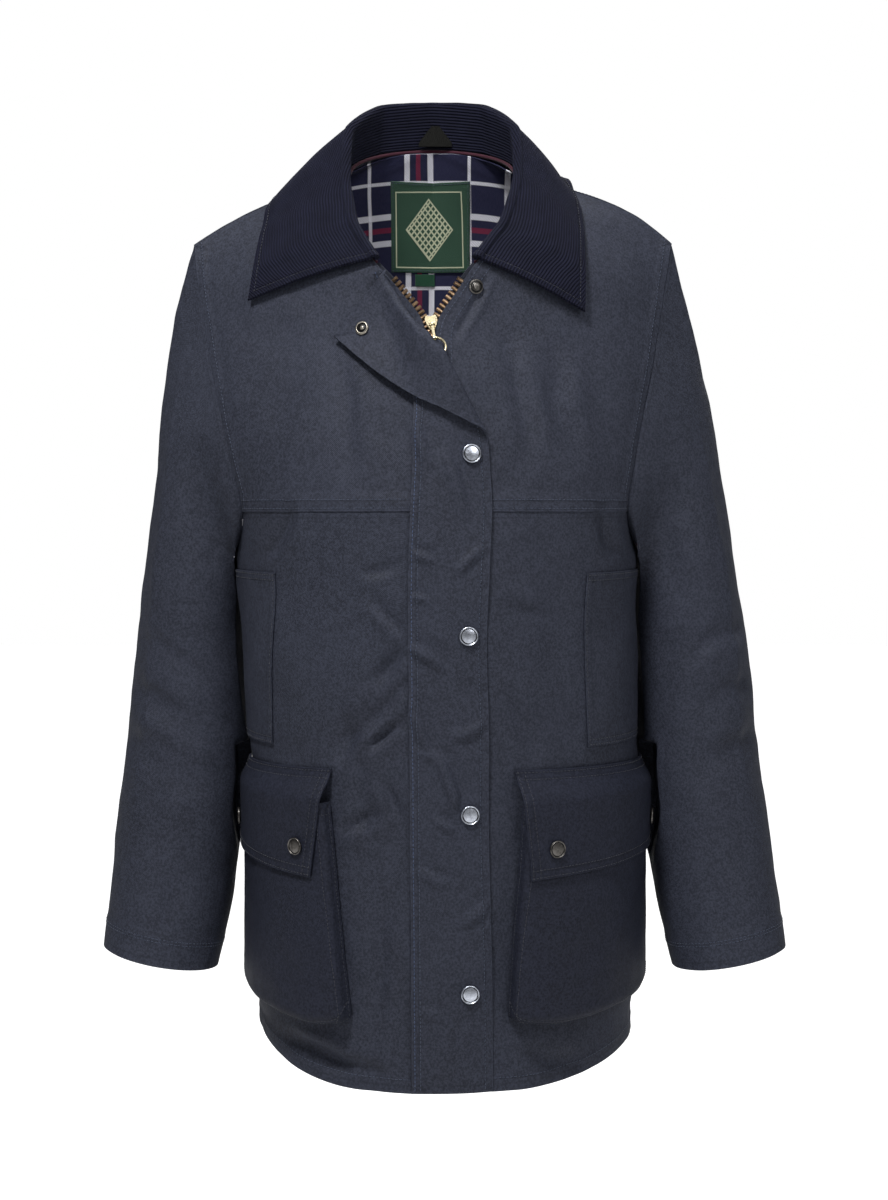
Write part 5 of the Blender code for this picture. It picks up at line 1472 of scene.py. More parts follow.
def make_storm_flap():
    """The strip over the zip, sewn down along its base, with bright thread along its edge."""
    made = grid_piece("storm_flap", flap_grid(), CLOTH, "wax", middle=True)
    sew(*made, "right", (0.0070,), 0.004, 0.0)
    sew(*made, "left", (0.0030,), 0.004, 0.0, "bright_thread")
    sew(*made, "left", (0.0075,), 0.004, 0.0)
    sew(*made, "high", (0.0070,), 0.004, 0.007)


@cache
def flap_tree():
    points, quads, normals = facing_grid(flap_grid())
    return tree_of(points + normals * CLOTH / 2, quads)


# --- press studs -------------------------------------------


def circle(radius, sides, a=0.0, b=0.0):
    angles = [2 * math.pi * k / sides for k in range(sides)]
    return [(a + radius * math.cos(angle), b + radius * math.sin(angle)) for angle in angles]


def tube_faces(rings, sides, closed=False):
    """The faces of a tube through its rings of points, with its ends shut unless it closes on itself."""
    faces = []
    for i in range(rings if closed else rings - 1):
        low, high = i * sides, (i + 1) % rings * sides
        faces += [(low + k, low + (k + 1) % sides, high + (k + 1) % sides, high + k) for k in range(sides)]
    if not closed:
        faces += [tuple(range(sides))[::-1], tuple(range((rings - 1) * sides, rings * sides))]
    return faces


STUD_SIDES = 40


def turned(name, profile, centre, axis, metal_name, dark):
    """A profile of radius and height turned about an axis. dark numbers the bands painted near black, as
    shade in the stud's hollows.
    """
    axis = unit(axis)
    side = unit(np.cross(axis, (0.0, 0.0, 1.0)))
    other = np.cross(axis, side)
    points = [
        centre + side * a + other * b + axis * height
        for radius, height in profile for a, b in circle(radius, STUD_SIDES)
    ]
    faces = tube_faces(len(profile), STUD_SIDES)
    slots = [int(k // STUD_SIDES in dark) for k in range(len(faces))]
    materials = [finish(metal_name), finish("socket_dark")]
    finished(mesh_object(name, points, faces, materials, slots, angle=60.0), "jacket", name)


def make_cap(name, spot, axis, radius, metal_name="steel"):
    """A stud cap: a rolled rim, a groove inside it painted near black as shade, and a low dome."""
    angles = np.linspace(0.0, math.pi, 9)
    rim = [(radius * (0.925 + 0.075 * math.sin(a)), 0.0012 - 0.0010 * math.cos(a)) for a in angles]
    groove = [(radius * 0.85, 0.0017), (radius * 0.79, 0.00145)]
    shares = (0.74, 0.66, 0.52, 0.36, 0.20, 0.08)
    dome = [(radius * r, 0.00155 + 0.0007 * (1 - (r / shares[0]) ** 2)) for r in shares]
    profile = [(radius * 0.80, 0.0), *rim, *groove, *dome]
    turned(name, profile, np.array(spot), axis, metal_name, dark=(10, 11))


# The turned corner's socket and the post that it closes on, as radius and height.
SOCKET = (
    (0.0052, 0.0), (0.0056, 0.0003), (0.0057, 0.0008), (0.0054, 0.0013), (0.0047, 0.0017), (0.0041, 0.0017),
    (0.0037, 0.0012), (0.0034, 0.0006), (0.0021, 0.0006), (0.0017, 0.0011), (0.0008, 0.0011),
)
POST = (
    (0.0056, 0.0), (0.0058, 0.0003), (0.0058, 0.0009), (0.0050, 0.0013), (0.0034, 0.0014),
    (0.0030, 0.0018), (0.0031, 0.0028), (0.0027, 0.0033), (0.0012, 0.0035),
)


def make_studs():
    """Four caps down the storm flap, the turned corner's own cap and socket, and the post under it."""
    for number, (x, z) in enumerate(zip(*FLAP_STUDS.values()), 1):
        spot, normal = on_carrier(flap_tree(), x, z)
        make_cap(f"stud_front_{number}", spot + normal * 0.0006, normal, FRONT_STUD_RADIUS)
    spot, normal = on_carrier(flap_tree(), *SOCKET_PLACE)
    # The socket's hollow is painted near black, as shade.
    turned("stud_top_socket", SOCKET, spot + normal * (CLOTH + 0.0003), normal, "ring", dark=(5, 6, 7, 8))
    make_cap("stud_top_cap", spot - normal * (CLOTH + 0.0010), -normal, 0.0068)
    spot, normal = on_carrier(carrier(), *POST_PLACE)
    # The ledge round the foot of the post's stem is painted near black, as shade.
    turned("stud_top_post", POST, spot + normal * 0.0014, normal, "pewter", dark=(3,))


# --- the collar --------------------------------------------


def neckline():
    """The eleven neckline points, from the right front end round the back to the left."""
    points = {}
    backs = dict(zip((RIGHT, LEFT), (sheet.ids for sheet in shell().panels["back"])))
    for side in (RIGHT, LEFT):
        front = shell().calm[front_ids(side)[V_ROW * DETAIL::DETAIL, 0]]
        points[side] = [*front, shell().calm[backs[side][(NECK_ROW + 1) * DETAIL, 0]]]
    centre = shell().calm[backs[RIGHT][NECK_ROW * DETAIL, 0]]
    return np.array(points[RIGHT] + [centre] + points[LEFT][::-1])


def collar_section(tree, seam, edge, rise, share):
    """The collar's middle line at one station, from the seam to the outer edge."""
    round_back = math.sin(math.pi * share)
    up = unit(np.array((0.0, -0.75 * (1 - round_back), 0.45 + round_back)))
    out = edge - seam
    out = unit(out - up * float(out @ up))
    roll = COLLAR_ROLL
    foot = seam + up * 0.0022
    crest = seam + up * max(rise, 2.2 * roll)
    inner, outer = crest - up * roll - out * roll, crest - up * roll + out * roll
    points = [foot, foot + (inner - foot) * 0.5, inner]
    points += [crest - up * roll + roll * (up * math.sin(a) - out * math.cos(a)) for a in (0.8, 1.57, 2.35)]
    points.append(outer)
    for f in (0.10, 0.25, 0.40, 0.55, 0.70, 0.85, 1.0):
        spot = outer + (edge - outer) * f
        spot = spot + up * 0.004 * math.sin(math.pi * f)
        points.append(laid_on(tree, spot, CORDUROY / 2 + COLLAR_REST))
    return points


def laid_on(tree, spot, least):
    """The spot, lifted where it would lie in the cloth under it or too near it."""
    near, normal, _, _ = tree.find_nearest(Vector(spot))
    near, normal = np.array(near), np.array(normal)
    lift = least - float((spot - near) @ normal)
    return spot + normal * max(lift, 0.0)


def make_collar():
    """The stand rises from the neckline, rolls over at the fold and falls to the outer edge."""
    tree = tree_of(shell().calm, shell().quads)
    seam_line = neckline()
    places = np.arange(len(seam_line), dtype=float)
    grid = []
    for at in np.linspace(0, len(seam_line) - 1, 2 * COLLAR_STEPS * (len(seam_line) - 1) + 1):
        near = min(int(at + 1e-9), len(seam_line) - 2)
        seam = np.array([smooth(places, seam_line[:, k], at) for k in range(3)])
        chord = seam_line[near] + (seam_line[near + 1] - seam_line[near]) * (at - near)
        seam = (seam + chord) / 2
        edge = np.array([smooth(places, COLLAR[name], at) for name in ("edge_x", "edge_y", "edge_z")])
        rise = smooth(places, COLLAR["rise"], at)
        grid.append(collar_section(tree, seam, edge, rise, at / (len(seam_line) - 1)))
    for _ in range(4):
        for i in range(len(grid) - 1):
            for j in range(FALL_START, len(grid[0]) - 1):
                middle = (grid[i][j] + grid[i + 1][j] + grid[i][j + 1] + grid[i + 1][j + 1]) / 4
                lift = laid_on(tree, middle, CORDUROY / 2 + COLLAR_REST) - middle
                for row in (grid[i], grid[i + 1]):
                    row[j] = row[j] + lift
                    row[j + 1] = row[j + 1] + lift
    face = min(point[1] for point in grid[len(grid) // 2][:3]) - CORDUROY / 2
    edges = ("right", "low", "high")
    rows = dict.fromkeys(edges, (0.0060,))
    grid = refine_both(grid, DETAIL // 2, DETAIL // 2)
    grid_piece("collar", grid, CORDUROY, "corduroy", flip=True, middle=True, sway=0.0004, seed=41,
               edges=edges, rows=rows, inset=0.006)
    make_piping()
    make_hanger_loop(face)


def make_piping():
    """A corded edge along the neckline, between the collar and the lining."""
    line = neckline()
    places = np.arange(len(line), dtype=float)
    at = np.linspace(0.0, len(line) - 1, 12 * (len(line) - 1) + 1)
    line = np.array([[smooth(places, line[:, k], place) for k in range(3)] for place in at])
    middle = line.mean(axis=0)
    inward = unit((middle - line) * (1.0, 1.0, 0.0))
    line = line + inward * PIPING["in"] + np.array((0.0, 0.0, PIPING["up"]))
    tangent = unit(np.gradient(line, axis=0))
    side = unit(np.cross(tangent, (0.0, 0.0, 1.0)))
    other = np.cross(side, tangent)
    section = circle(PIPING["radius"], 10)
    points = [
        spot + first * a + second * b
        for spot, first, second in zip(line, side, other) for a, b in section
    ]
    faces = tube_faces(len(line), len(section))
    made = mesh_object("neck_piping", points, faces, [finish("piping")], angle=60.0)
    finished(made, "jacket", None)


def make_hanger_loop(face):
    """A loop of tape, folded to a triangle against the stand."""
    grid = []
    for up in np.linspace(0.0, 1.0, 4 * DETAIL):
        half = LOOP["width"] / 2 + (0.0035 - LOOP["width"] / 2) * max(up - 0.2, 0.0) / 0.8
        row = []
        for across in np.linspace(-1.0, 1.0, 4 * DETAIL):
            bow = 0.0012 * (1 - across ** 2) * (1 - up) + 0.0006 * math.exp(-((across / 0.10) ** 2)) * up
            row.append((LOOP["x"] + across * half, face - 0.0048 - bow, LOOP["z"] + LOOP["height"] * up))
        grid.append(row)
    grid_piece("hanger_loop", grid, 0.0012, "loop")


# --- lining and labels -------------------------------------


def make_lining():
    """The lining inside the upper back, as far down as the neck opening shows it, and what is sewn to it."""
    skin = shell()
    sheets = []
    for sheet in skin.panels["back"]:
        rows = np.flatnonzero(skin.calm[sheet.ids][..., 2].min(axis=1) > LINING_FOOT)
        sheets.append(sheet.ids[rows[0]:])
    normals = skin.calm_normals
    points = skin.calm - normals * (CLOTH + 0.0010)
    wave = noise(points, 0.045, 51) + 0.6 * noise(points, 0.016, 52)
    points = points - normals * (0.0004 * (1 + wave))[:, None]
    parts = [Sheet(ids, points, flip=sheet.flip) for ids, sheet in zip(sheets, skin.panels["back"])]
    lining = finish("lining")
    cloth_piece("back_lining", points, normals, parts, LINING_CLOTH, lining, lining,
                PANEL_EDGES["back"])
    quads = np.concatenate([part.quads() for part in parts])[:, ::-1]
    tree = tree_of(points - normals * LINING_CLOTH, quads)
    for name, plan, thickness, cloth, rows in (
        ("neck_label", LABEL, 0.0010, "label", dict.fromkeys(EDGES, (0.0016,))),
        ("size_tab", SIZE_TAB, 0.0008, "tab", None),
    ):
        grid = []
        for z in np.linspace(*plan["z"], 5 * DETAIL):
            row = []
            for x in np.linspace(*plan["x"], 4 * DETAIL):
                spot, normal, _, _ = tree.ray_cast(Vector((x, 0.0, z)), Vector((0.0, 1.0, 0.0)))
                row.append(np.array(spot) + np.array(normal) * (thickness + 0.0004))
            grid.append(row)
        grid_piece(name, grid, thickness, cloth, sway=0.0002, rows=rows, inset=0.001,
                   thread="thread")


# --- the zip -----------------------------------------------


SLIDER_FACE = SLIDER_SEAT + SLIDER_PLATE
BAR_OUT = SLIDER_FACE + EYE_STAND  # from the front out to the slider's bar


class PullFrame:
    """The slider's own axes, read from the joints: across it, out from the jacket, and up along the zip."""

    def __init__(self):
        joints = {joint["name"]: joint for joint in frame["joints"]}
        tab, ring = joints["pull_tab_swing"], joints["pull_ring_swing"]
        top, foot = np.array(tab["pos_m"]), np.array(ring["pos_m"])
        self.up = unit(top - foot)
        self.across = -unit(np.array(tab["axis"]))
        self.across = unit(self.across - self.up * float(self.across @ self.up))
        self.out = np.cross(self.across, self.up)
        self.origin = top - self.out * BAR_OUT - self.up * PULL_PIVOT

    def at(self, across, out, up):
        return self.origin + self.across * across + self.out * out + self.up * up


def prism_parts(outline, place, start, end):
    """An outline pushed from start to end, where place(a, b, depth) gives a point."""
    count = len(outline)
    ring = [place(a, b, start) for a, b in outline]
    facing = sum(np.cross(ring[k - 1], ring[k]) for k in range(count))
    if float(facing @ (place(0.0, 0.0, end) - place(0.0, 0.0, start))) < 0:
        outline = outline[::-1]
    points = [place(a, b, depth) for depth in (start, end) for a, b in outline]
    faces = [tuple(reversed(range(count))), tuple(range(count, 2 * count))]
    faces += [(k, (k + 1) % count, (k + 1) % count + count, k + count) for k in range(count)]
    return points, faces


def bevelled(made, width, segments, angle):
    """Rounds a piece's edges that are sharper than the angle."""
    change = made.modifiers.new("edges", "BEVEL")
    change.width, change.segments = width, segments
    change.limit_method, change.angle_limit = "ANGLE", math.radians(angle)
    return made


def rounded(outline, steps=5):
    """A closed outline with its corners turned into smooth curves."""
    spots = np.array(outline)
    before, after = np.roll(spots, 1, axis=0), np.roll(spots, -1, axis=0)
    made = []
    for k, spot in enumerate(spots):
        start, end = spot + (before[k] - spot) * 0.38, spot + (after[k] - spot) * 0.38
        for f in np.linspace(0, 1, steps):
            made.append(tuple((1 - f) ** 2 * start + 2 * f * (1 - f) * spot + f * f * end))
    return made


def make_slider():
    """A shield-shaped plate, with a bar across two lugs that carries the pull."""
    pull = PullFrame()
    half = [(0.0, -0.0094), (0.0022, -0.0060), (0.0044, -0.0012)]
    half += [(0.0052, 0.0030), (0.0038, 0.0056), (0.0, 0.0044)]
    outline = rounded(half + [(-a, b) for a, b in half[-2:0:-1]])
    inset = [(a * 0.66, b * 0.66 + 0.0002) for a, b in outline]

    def flat(a, b, depth):
        return pull.at(a, depth, b)

    def across(a, b, depth):
        return pull.at(depth, BAR_OUT + a, PULL_PIVOT + b)

    parts = [
        prism_parts(outline, flat, SLIDER_SEAT, SLIDER_FACE),
        prism_parts(inset, flat, SLIDER_FACE - 0.0004, SLIDER_FACE + 0.0005),
        prism_parts(circle(0.0008, 16), across, -0.0021, 0.0021),
    ]
    for sign in (-1, 1):
        foot = [(-EYE_STAND - 0.0006, -0.0013), (0.0, -0.0012), (0.0010, -0.0006), (0.0012, 0.0)]
        foot += [(0.0010, 0.0006), (0.0, 0.0012), (-EYE_STAND - 0.0006, 0.0013)]
        ends = sorted((sign * 0.0014, sign * 0.0022))
        parts.append(prism_parts(foot, across, *ends))
    points, faces = [], []
    for part_points, part_faces in parts:
        faces += [tuple(len(points) + k for k in face) for face in part_faces]
        points += part_points
    made = mesh_object("zip_slider", points, faces, [finish("gold")], angle=35.0)
    finished(bevelled(made, 0.0003, 3, 40), "jacket", "zip_slider")


EYE_SIDES = 24
TAB_HOLES = ((0.0, 0.0011), (-TAB_LENGTH, 0.0014))  # the eyes' places along the tab, and their radii


def make_pull_tab():
    """A short link with an eye at each end: one round the slider's bar, one round the ring."""
    pull = PullFrame()
    half = TAB_WIDTH / 3
    gap = math.asin(0.0010 / EYE_RADIUS)
    angles = np.linspace(gap - math.pi / 2, 1.5 * math.pi - gap, 30)
    outer = [(EYE_RADIUS * math.cos(angle), EYE_RADIUS * math.sin(angle)) for angle in angles]
    edge = outer + [(-a, -TAB_LENGTH - b) for a, b in outer]
    shape = bmesh.new()
    loops = []
    for outline in (edge, *(circle(radius, EYE_SIDES, b=middle) for middle, radius in TAB_HOLES)):
        rings = [
            [shape.verts.new(pull.at(depth, BAR_OUT + a, PULL_PIVOT + b)) for a, b in outline]
            for depth in (-half, half)
        ]
        near, far = rings if outline is edge else rings[::-1]
        for k in range(len(outline)):
            n = (k + 1) % len(outline)
            shape.faces.new((near[k], near[n], far[n], far[k]))
        loops.append(rings)
    for rings in zip(*loops):
        edges = [shape.edges.get((ring[k - 1], ring[k])) for ring in rings for k in range(len(ring))]
        bmesh.ops.triangle_fill(shape, use_beauty=True, use_dissolve=False, edges=edges)
    bmesh.ops.recalc_face_normals(shape, faces=shape.faces)
    mesh = bpy.data.meshes.new("zip_pull_tab")
    shape.to_mesh(mesh)
    shape.free()
    mesh.materials.append(finish("gold"))
    mesh.shade_smooth()
    mesh.set_sharp_from_angle(angle=math.radians(35))
    finished(bevelled(placed("zip_pull_tab", mesh), 0.0002, 2, 30), "pull_tab", "zip_pull_tab")


def make_pull_ring():
    """A ring of wire that hangs in the tab's lower eye."""
    pull = PullFrame()
    middle = pull.at(0.0, BAR_OUT, PULL_PIVOT - TAB_LENGTH - RING_RADIUS)
    wire, points = circle(RING_WIRE, 16), []
    for up, across in circle(1.0, 72):
        way = pull.across * across + pull.up * up
        points += [middle + way * (RING_RADIUS + a) + pull.out * b for a, b in wire]
    faces = tube_faces(72, len(wire), closed=True)
    made = mesh_object("zip_pull_ring", points, faces, [finish("gold")], angle=35.0)
    finished(made, "pull_ring", "zip_pull_ring")


TEETH_TOP = -0.0770  # where the zip's top stops are
TEETH_END = 0.0070  # from the hem up to the last tooth
TOOTH_RUNS = []  # the lines that the zip's teeth follow: their points and normals


def make_tapes():
    """A tape behind each front edge. Its inner edge carries the teeth."""
    skin = shell()
    for side in (RIGHT, LEFT):
        ids = front_ids(side)[:V_ROW * DETAIL + 1]
        edge, beside, facing = skin.calm[ids[:, 0]], skin.calm[ids[:, DETAIL]], skin.calm_normals[ids[:, 0]]
        back = edge - facing * (CLOTH + 0.0005)
        inward = unit(beside - edge)
        grid = np.stack([back + inward * away for away in TAPE_COLUMNS], axis=1)
        grid[:DETAIL] += np.array((0.0, 0.0, 0.004)) * np.linspace(1, 0, DETAIL)[:, None, None]
        grid_piece("zip_tape_" + SIDE_NAMES[side], grid, TAPE_CLOTH, "tape", side == LEFT)
        low = (back[:, 2] < TEETH_TOP) & (back[:, 2] > back[0, 2] + TEETH_END)
        TOOTH_RUNS.append(((back - inward * (TAPE_REACH - 0.0006) + facing * 0.0003)[low], facing[low], side))


# --- stitches and teeth ------------------------------------


REPEAT_SIZES = ("Pitch", "Along", "Across", "Thick")


def repeat_tree(name, shape):
    """Geometry Nodes that set a small piece at even steps along the lines of a mesh."""
    inputs = {"Lines": "Geometry", **dict.fromkeys(REPEAT_SIZES, "Float"), "Finish": "Material"}
    n, start, end = new_group(name, inputs, {"Pieces": "Geometry"}, "GeometryNodeTree")
    curve = n.add("GeometryNodeMeshToCurve", Mesh=start["Lines"]).outputs[0]
    steps = n.add("GeometryNodeResampleCurve", {"mode": "LENGTH"}, Curve=curve, Length=start["Pitch"])
    facing = n.add("GeometryNodeInputNamedAttribute", {"data_type": "FLOAT_VECTOR"}, Name="facing")
    tangent = n.add("GeometryNodeInputTangent").outputs[0]
    along = n.add("FunctionNodeAlignEulerToVector", {"axis": "X"}, Vector=tangent)
    upright = n.add("FunctionNodeAlignEulerToVector", {"axis": "Z", "pivot_axis": "X"},
                    Rotation=along.outputs[0], Vector=facing.outputs["Attribute"])
    if shape == "thread":
        ball = n.add("GeometryNodeMeshUVSphere", Segments=6, Rings=4, Radius=0.5)
        piece = n.add("GeometryNodeSetShadeSmooth", _0=ball.outputs[0])
    else:
        rod = n.add("GeometryNodeMeshCylinder", Vertices=10, Radius=0.5, Depth=1.0)
        piece = n.add("GeometryNodeTransform", Geometry=rod.outputs[0], Rotation=(math.pi / 2, 0.0, 0.0))
    size = n.add("ShaderNodeCombineXYZ", _0=start["Along"], _1=start["Across"], _2=start["Thick"])
    place = n.add("GeometryNodeInstanceOnPoints", Points=steps.outputs[0], Instance=piece.outputs[0],
                  Rotation=upright.outputs[0], Scale=size.outputs[0])
    plain = n.add("GeometryNodeRealizeInstances", _0=place.outputs[0])
    dress = n.add("GeometryNodeSetMaterial", Geometry=plain.outputs[0], Material=start["Finish"])
    n.wire(end, _0=dress.outputs[0])
    return n.tree


def repeated(name, runs, tree, sizes, material):
    """Pieces set along lines, as one plain mesh. Each run is its points and the way that they face."""
    points = np.concatenate([run for run, _ in runs])
    facing = np.concatenate([way for _, way in runs])
    edges, start = [], 0
    for run, _ in runs:
        edges += [(start + k, start + k + 1) for k in range(len(run) - 1)]
        start += len(run)
    lines = bpy.data.meshes.new(name + "_lines")
    lines.from_pydata(points.tolist(), edges, [])
    layer = lines.attributes.new("facing", "FLOAT_VECTOR", "POINT")
    layer.data.foreach_set("vector", facing.astype(np.float32).ravel())
    source = placed(name + "_lines", lines)
    change = source.modifiers.new("repeat", "NODES")
    change.node_group = tree
    names = {item.name: item.identifier for item in tree.interface.items_tree if item.in_out == "INPUT"}
    for label, value in zip(REPEAT_SIZES, sizes):
        change[names[label]] = value
    change[names["Finish"]] = material
    bpy.context.view_layer.update()
    ready = source.evaluated_get(bpy.context.evaluated_depsgraph_get())
    mesh = bpy.data.meshes.new_from_object(ready)
    mesh.name = name
    source.modifiers.clear()
    bpy.data.objects.remove(source, do_unlink=True)
    if not mesh.materials:
        mesh.materials.append(material)
    return finished(placed(name, mesh), "jacket", None)


def make_stitches():
    """Sews every noted row, in a few pieces of work so that none grows too large."""
    trim = bpy.context.scene.jacket_trim
    tree = repeat_tree("Stitches", "thread")
    facing_at = shell_facing()
    sizes = (trim.stitch_pitch, trim.stitch_length, trim.stitch_width, trim.stitch_width * 0.8)
    for thread, pieces in (("thread", 3), ("dark_thread", 1), ("bright_thread", 1)):
        lines = [line for line, used in STITCH_RUNS if used == thread]
        share = math.ceil(len(lines) / pieces)
        for number in range(pieces):
            runs = [(line, facing_at(line)) for line in lines[number * share:(number + 1) * share]]
            repeated(f"stitches_{thread}_{number + 1}", runs, tree, sizes, finish(thread))


def shell_facing():
    """Gives the way that the cloth nearest to each point faces."""
    tree = tree_of(shell().points, shell().quads)

    def facing(line):
        return np.array([tree.find_nearest(Vector(point))[1] for point in line])

    return facing


TOOTH = (0.0030, 0.0055, 0.0032)  # a tooth's length along the tape, its width across it and its depth


def make_teeth():
    """Sets the zip's teeth along the edges of its tapes."""
    trim = bpy.context.scene.jacket_trim
    tree = repeat_tree("Teeth", "tooth")
    sizes = (trim.tooth_pitch, *TOOTH)
    for line, facing, side in TOOTH_RUNS:
        repeated("zip_teeth_" + SIDE_NAMES[side], [(line, facing)], tree, sizes, finish("brass"))


# --- settings, operators and panel -------------------------


class JacketCloth(bpy.types.PropertyGroup):
    """Colours and scales of the cloths."""

    wax_colour: FloatVectorProperty(
        name="Waxed Cotton", description="Colour of the panels, flap and sleeves", subtype="COLOR",
        default=(0.0184, 0.0208, 0.0312), min=0.0, max=1.0)
    pocket_colour: FloatVectorProperty(
        name="Pocket Cotton", description="Colour of the pockets and their flaps", subtype="COLOR",
        default=(0.0095, 0.0110, 0.0190), min=0.0, max=1.0)
    corduroy_colour: FloatVectorProperty(
        name="Corduroy", description="Colour of the collar", subtype="COLOR",
        default=(0.0056, 0.0061, 0.0140), min=0.0, max=1.0)
    lining_colour: FloatVectorProperty(
        name="Lining", description="Ground colour of the checked lining", subtype="COLOR",
        default=(0.009, 0.010, 0.036), min=0.0, max=1.0)
    weave_pitch: FloatProperty(
        name="Weave Pitch", description="Distance between threads of the waxed cotton", unit="LENGTH",
        default=0.0008, min=0.0003, max=0.003, precision=5)
    rumple_size: FloatProperty(
        name="Rumple Size", description="Size of the faint rumples in the waxed cotton", unit="LENGTH",
        default=0.024, min=0.005, max=0.2, precision=4)
    wale_pitch: FloatProperty(
        name="Wale Pitch", description="Distance between ridges of the corduroy", unit="LENGTH",
        default=0.00255, min=0.001, max=0.006, precision=5)
    check_shift: FloatVectorProperty(
        name="Check Shift", description="Moves the lining's check across and up", unit="LENGTH", size=2,
        default=(0.0520, 0.0220), precision=4)


class JacketTrim(bpy.types.PropertyGroup):
    """Sizes and colours of the label, thread and zip teeth."""

    label_colour: FloatVectorProperty(
        name="Label", description="Ground colour of the neck label", subtype="COLOR",
        default=(0.010, 0.050, 0.026), min=0.0, max=1.0)
    thread_colour: FloatVectorProperty(
        name="Thread", description="Colour of the sewing thread", subtype="COLOR",
        default=(0.024, 0.035, 0.068), min=0.0, max=1.0)
    stitch_pitch: FloatProperty(
        name="Stitch Pitch", description="Distance from one stitch to the next", unit="LENGTH",
        default=0.0032, min=0.001, max=0.01, precision=5)
    stitch_length: FloatProperty(
        name="Stitch Length", description="Length of the thread that shows", unit="LENGTH",
        default=0.0025, min=0.0005, max=0.01, precision=5)
    stitch_width: FloatProperty(
        name="Stitch Width", description="Thickness of the thread", unit="LENGTH",
        default=0.00055, min=0.0002, max=0.002, precision=5)
    tooth_pitch: FloatProperty(
        name="Tooth Pitch", description="Distance from one tooth of the zip to the next", unit="LENGTH",
        default=0.0043, min=0.001, max=0.01, precision=5)


class JacketStage(bpy.types.PropertyGroup):
    """Light and floor."""

    floor_drop: FloatProperty(
        name="Floor Drop", description="How far the floor lies below the hem", unit="LENGTH",
        default=0.45, min=0.0, max=2.0)
    brightness: FloatProperty(
        name="Brightness", description="Strength of the studio lights", subtype="FACTOR",
        default=1.0, min=0.0, max=10.0)


class JACKET_OT_panels(bpy.types.Operator):
    """Make the back, fronts, yokes and sleeves."""

    bl_idname = "jacket.panels"
    bl_label = "Panels"

    def execute(self, context):
        for name in shell().panels:
            make_panel(name)
        for side in (RIGHT, LEFT):
            make_handwarmer(side)
        return {"FINISHED"}


class JACKET_OT_pockets(bpy.types.Operator):
    """Make the bellows pockets, their flaps and the flaps' studs."""

    bl_idname = "jacket.pockets"
    bl_label = "Pockets"

    def execute(self, context):
        for side in (RIGHT, LEFT):
            make_pocket(side)
            make_pocket_flap(side)
        return {"FINISHED"}


class JACKET_OT_storm_flap(bpy.types.Operator):
    """Make the storm flap and the press studs down the front."""

    bl_idname = "jacket.storm_flap"
    bl_label = "Storm Flap and Studs"

    def execute(self, context):
        make_storm_flap()
        make_studs()
        return {"FINISHED"}


class JACKET_OT_collar(bpy.types.Operator):
    """Make the corduroy collar and its hanger loop."""

    bl_idname = "jacket.collar"
    bl_label = "Collar"

    def execute(self, context):
        make_collar()
        return {"FINISHED"}


class JACKET_OT_lining(bpy.types.Operator):
    """Make the checked lining, the neck label and the size tab."""

    bl_idname = "jacket.lining"
    bl_label = "Lining and Label"

    def execute(self, context):
        make_lining()
        return {"FINISHED"}


class JACKET_OT_zip(bpy.types.Operator):
    """Make the zip's tapes, teeth, slider, tab and ring."""

    bl_idname = "jacket.zip"
    bl_label = "Zip"

    def execute(self, context):
        make_tapes()
        make_teeth()
        make_slider()
        make_pull_tab()
        make_pull_ring()
        return {"FINISHED"}


class JACKET_OT_stitching(bpy.types.Operator):
    """Sew the rows of stitches that the pieces have noted."""

    bl_idname = "jacket.stitching"
    bl_label = "Stitching"

    def execute(self, context):
        make_stitches()
        return {"FINISHED"}


class JACKET_OT_stage(bpy.types.Operator):
    """Set the floor, the soft light and the camera."""

    bl_idname = "jacket.stage"
    bl_label = "Stage"

    def execute(self, context):
        make_stage()
        return {"FINISHED"}


FLOOR_REACH = 9.0  # from the middle of the floor to its edges
AIM, NECK_AIM = Vector((0.0, 0.0, -0.25)), Vector((0.0, 0.0, -0.045))
# Each light's name, kind, place, size (a disc's in metres, a cone's or the sun's in radians) and power.
LIGHTS = (
    ("key", "AREA", (-0.60, -1.25, 1.65), 0.45, 62.0),
    ("fill", "AREA", (1.2, -1.8, 0.95), 1.2, 19.0),
    ("neck", "SPOT", (0.0, -1.8, 0.22), 0.16, 30.0),
    ("top", "SUN", (0.2, 0.5, 2.0), 1.05, 0.60),
    ("back_light", "SUN", (0.6, 2.4, 1.4), 1.05, 1.30),
)
CAMERA_PLACE = (0.0, -1.8, -0.221)
CAMERA_TILT = math.radians(90 - 3.8)
SENSOR_HEIGHT = 36.0
FOCAL_SHARE = 2118 / 1200  # the focal length, as a share of the sensor's height


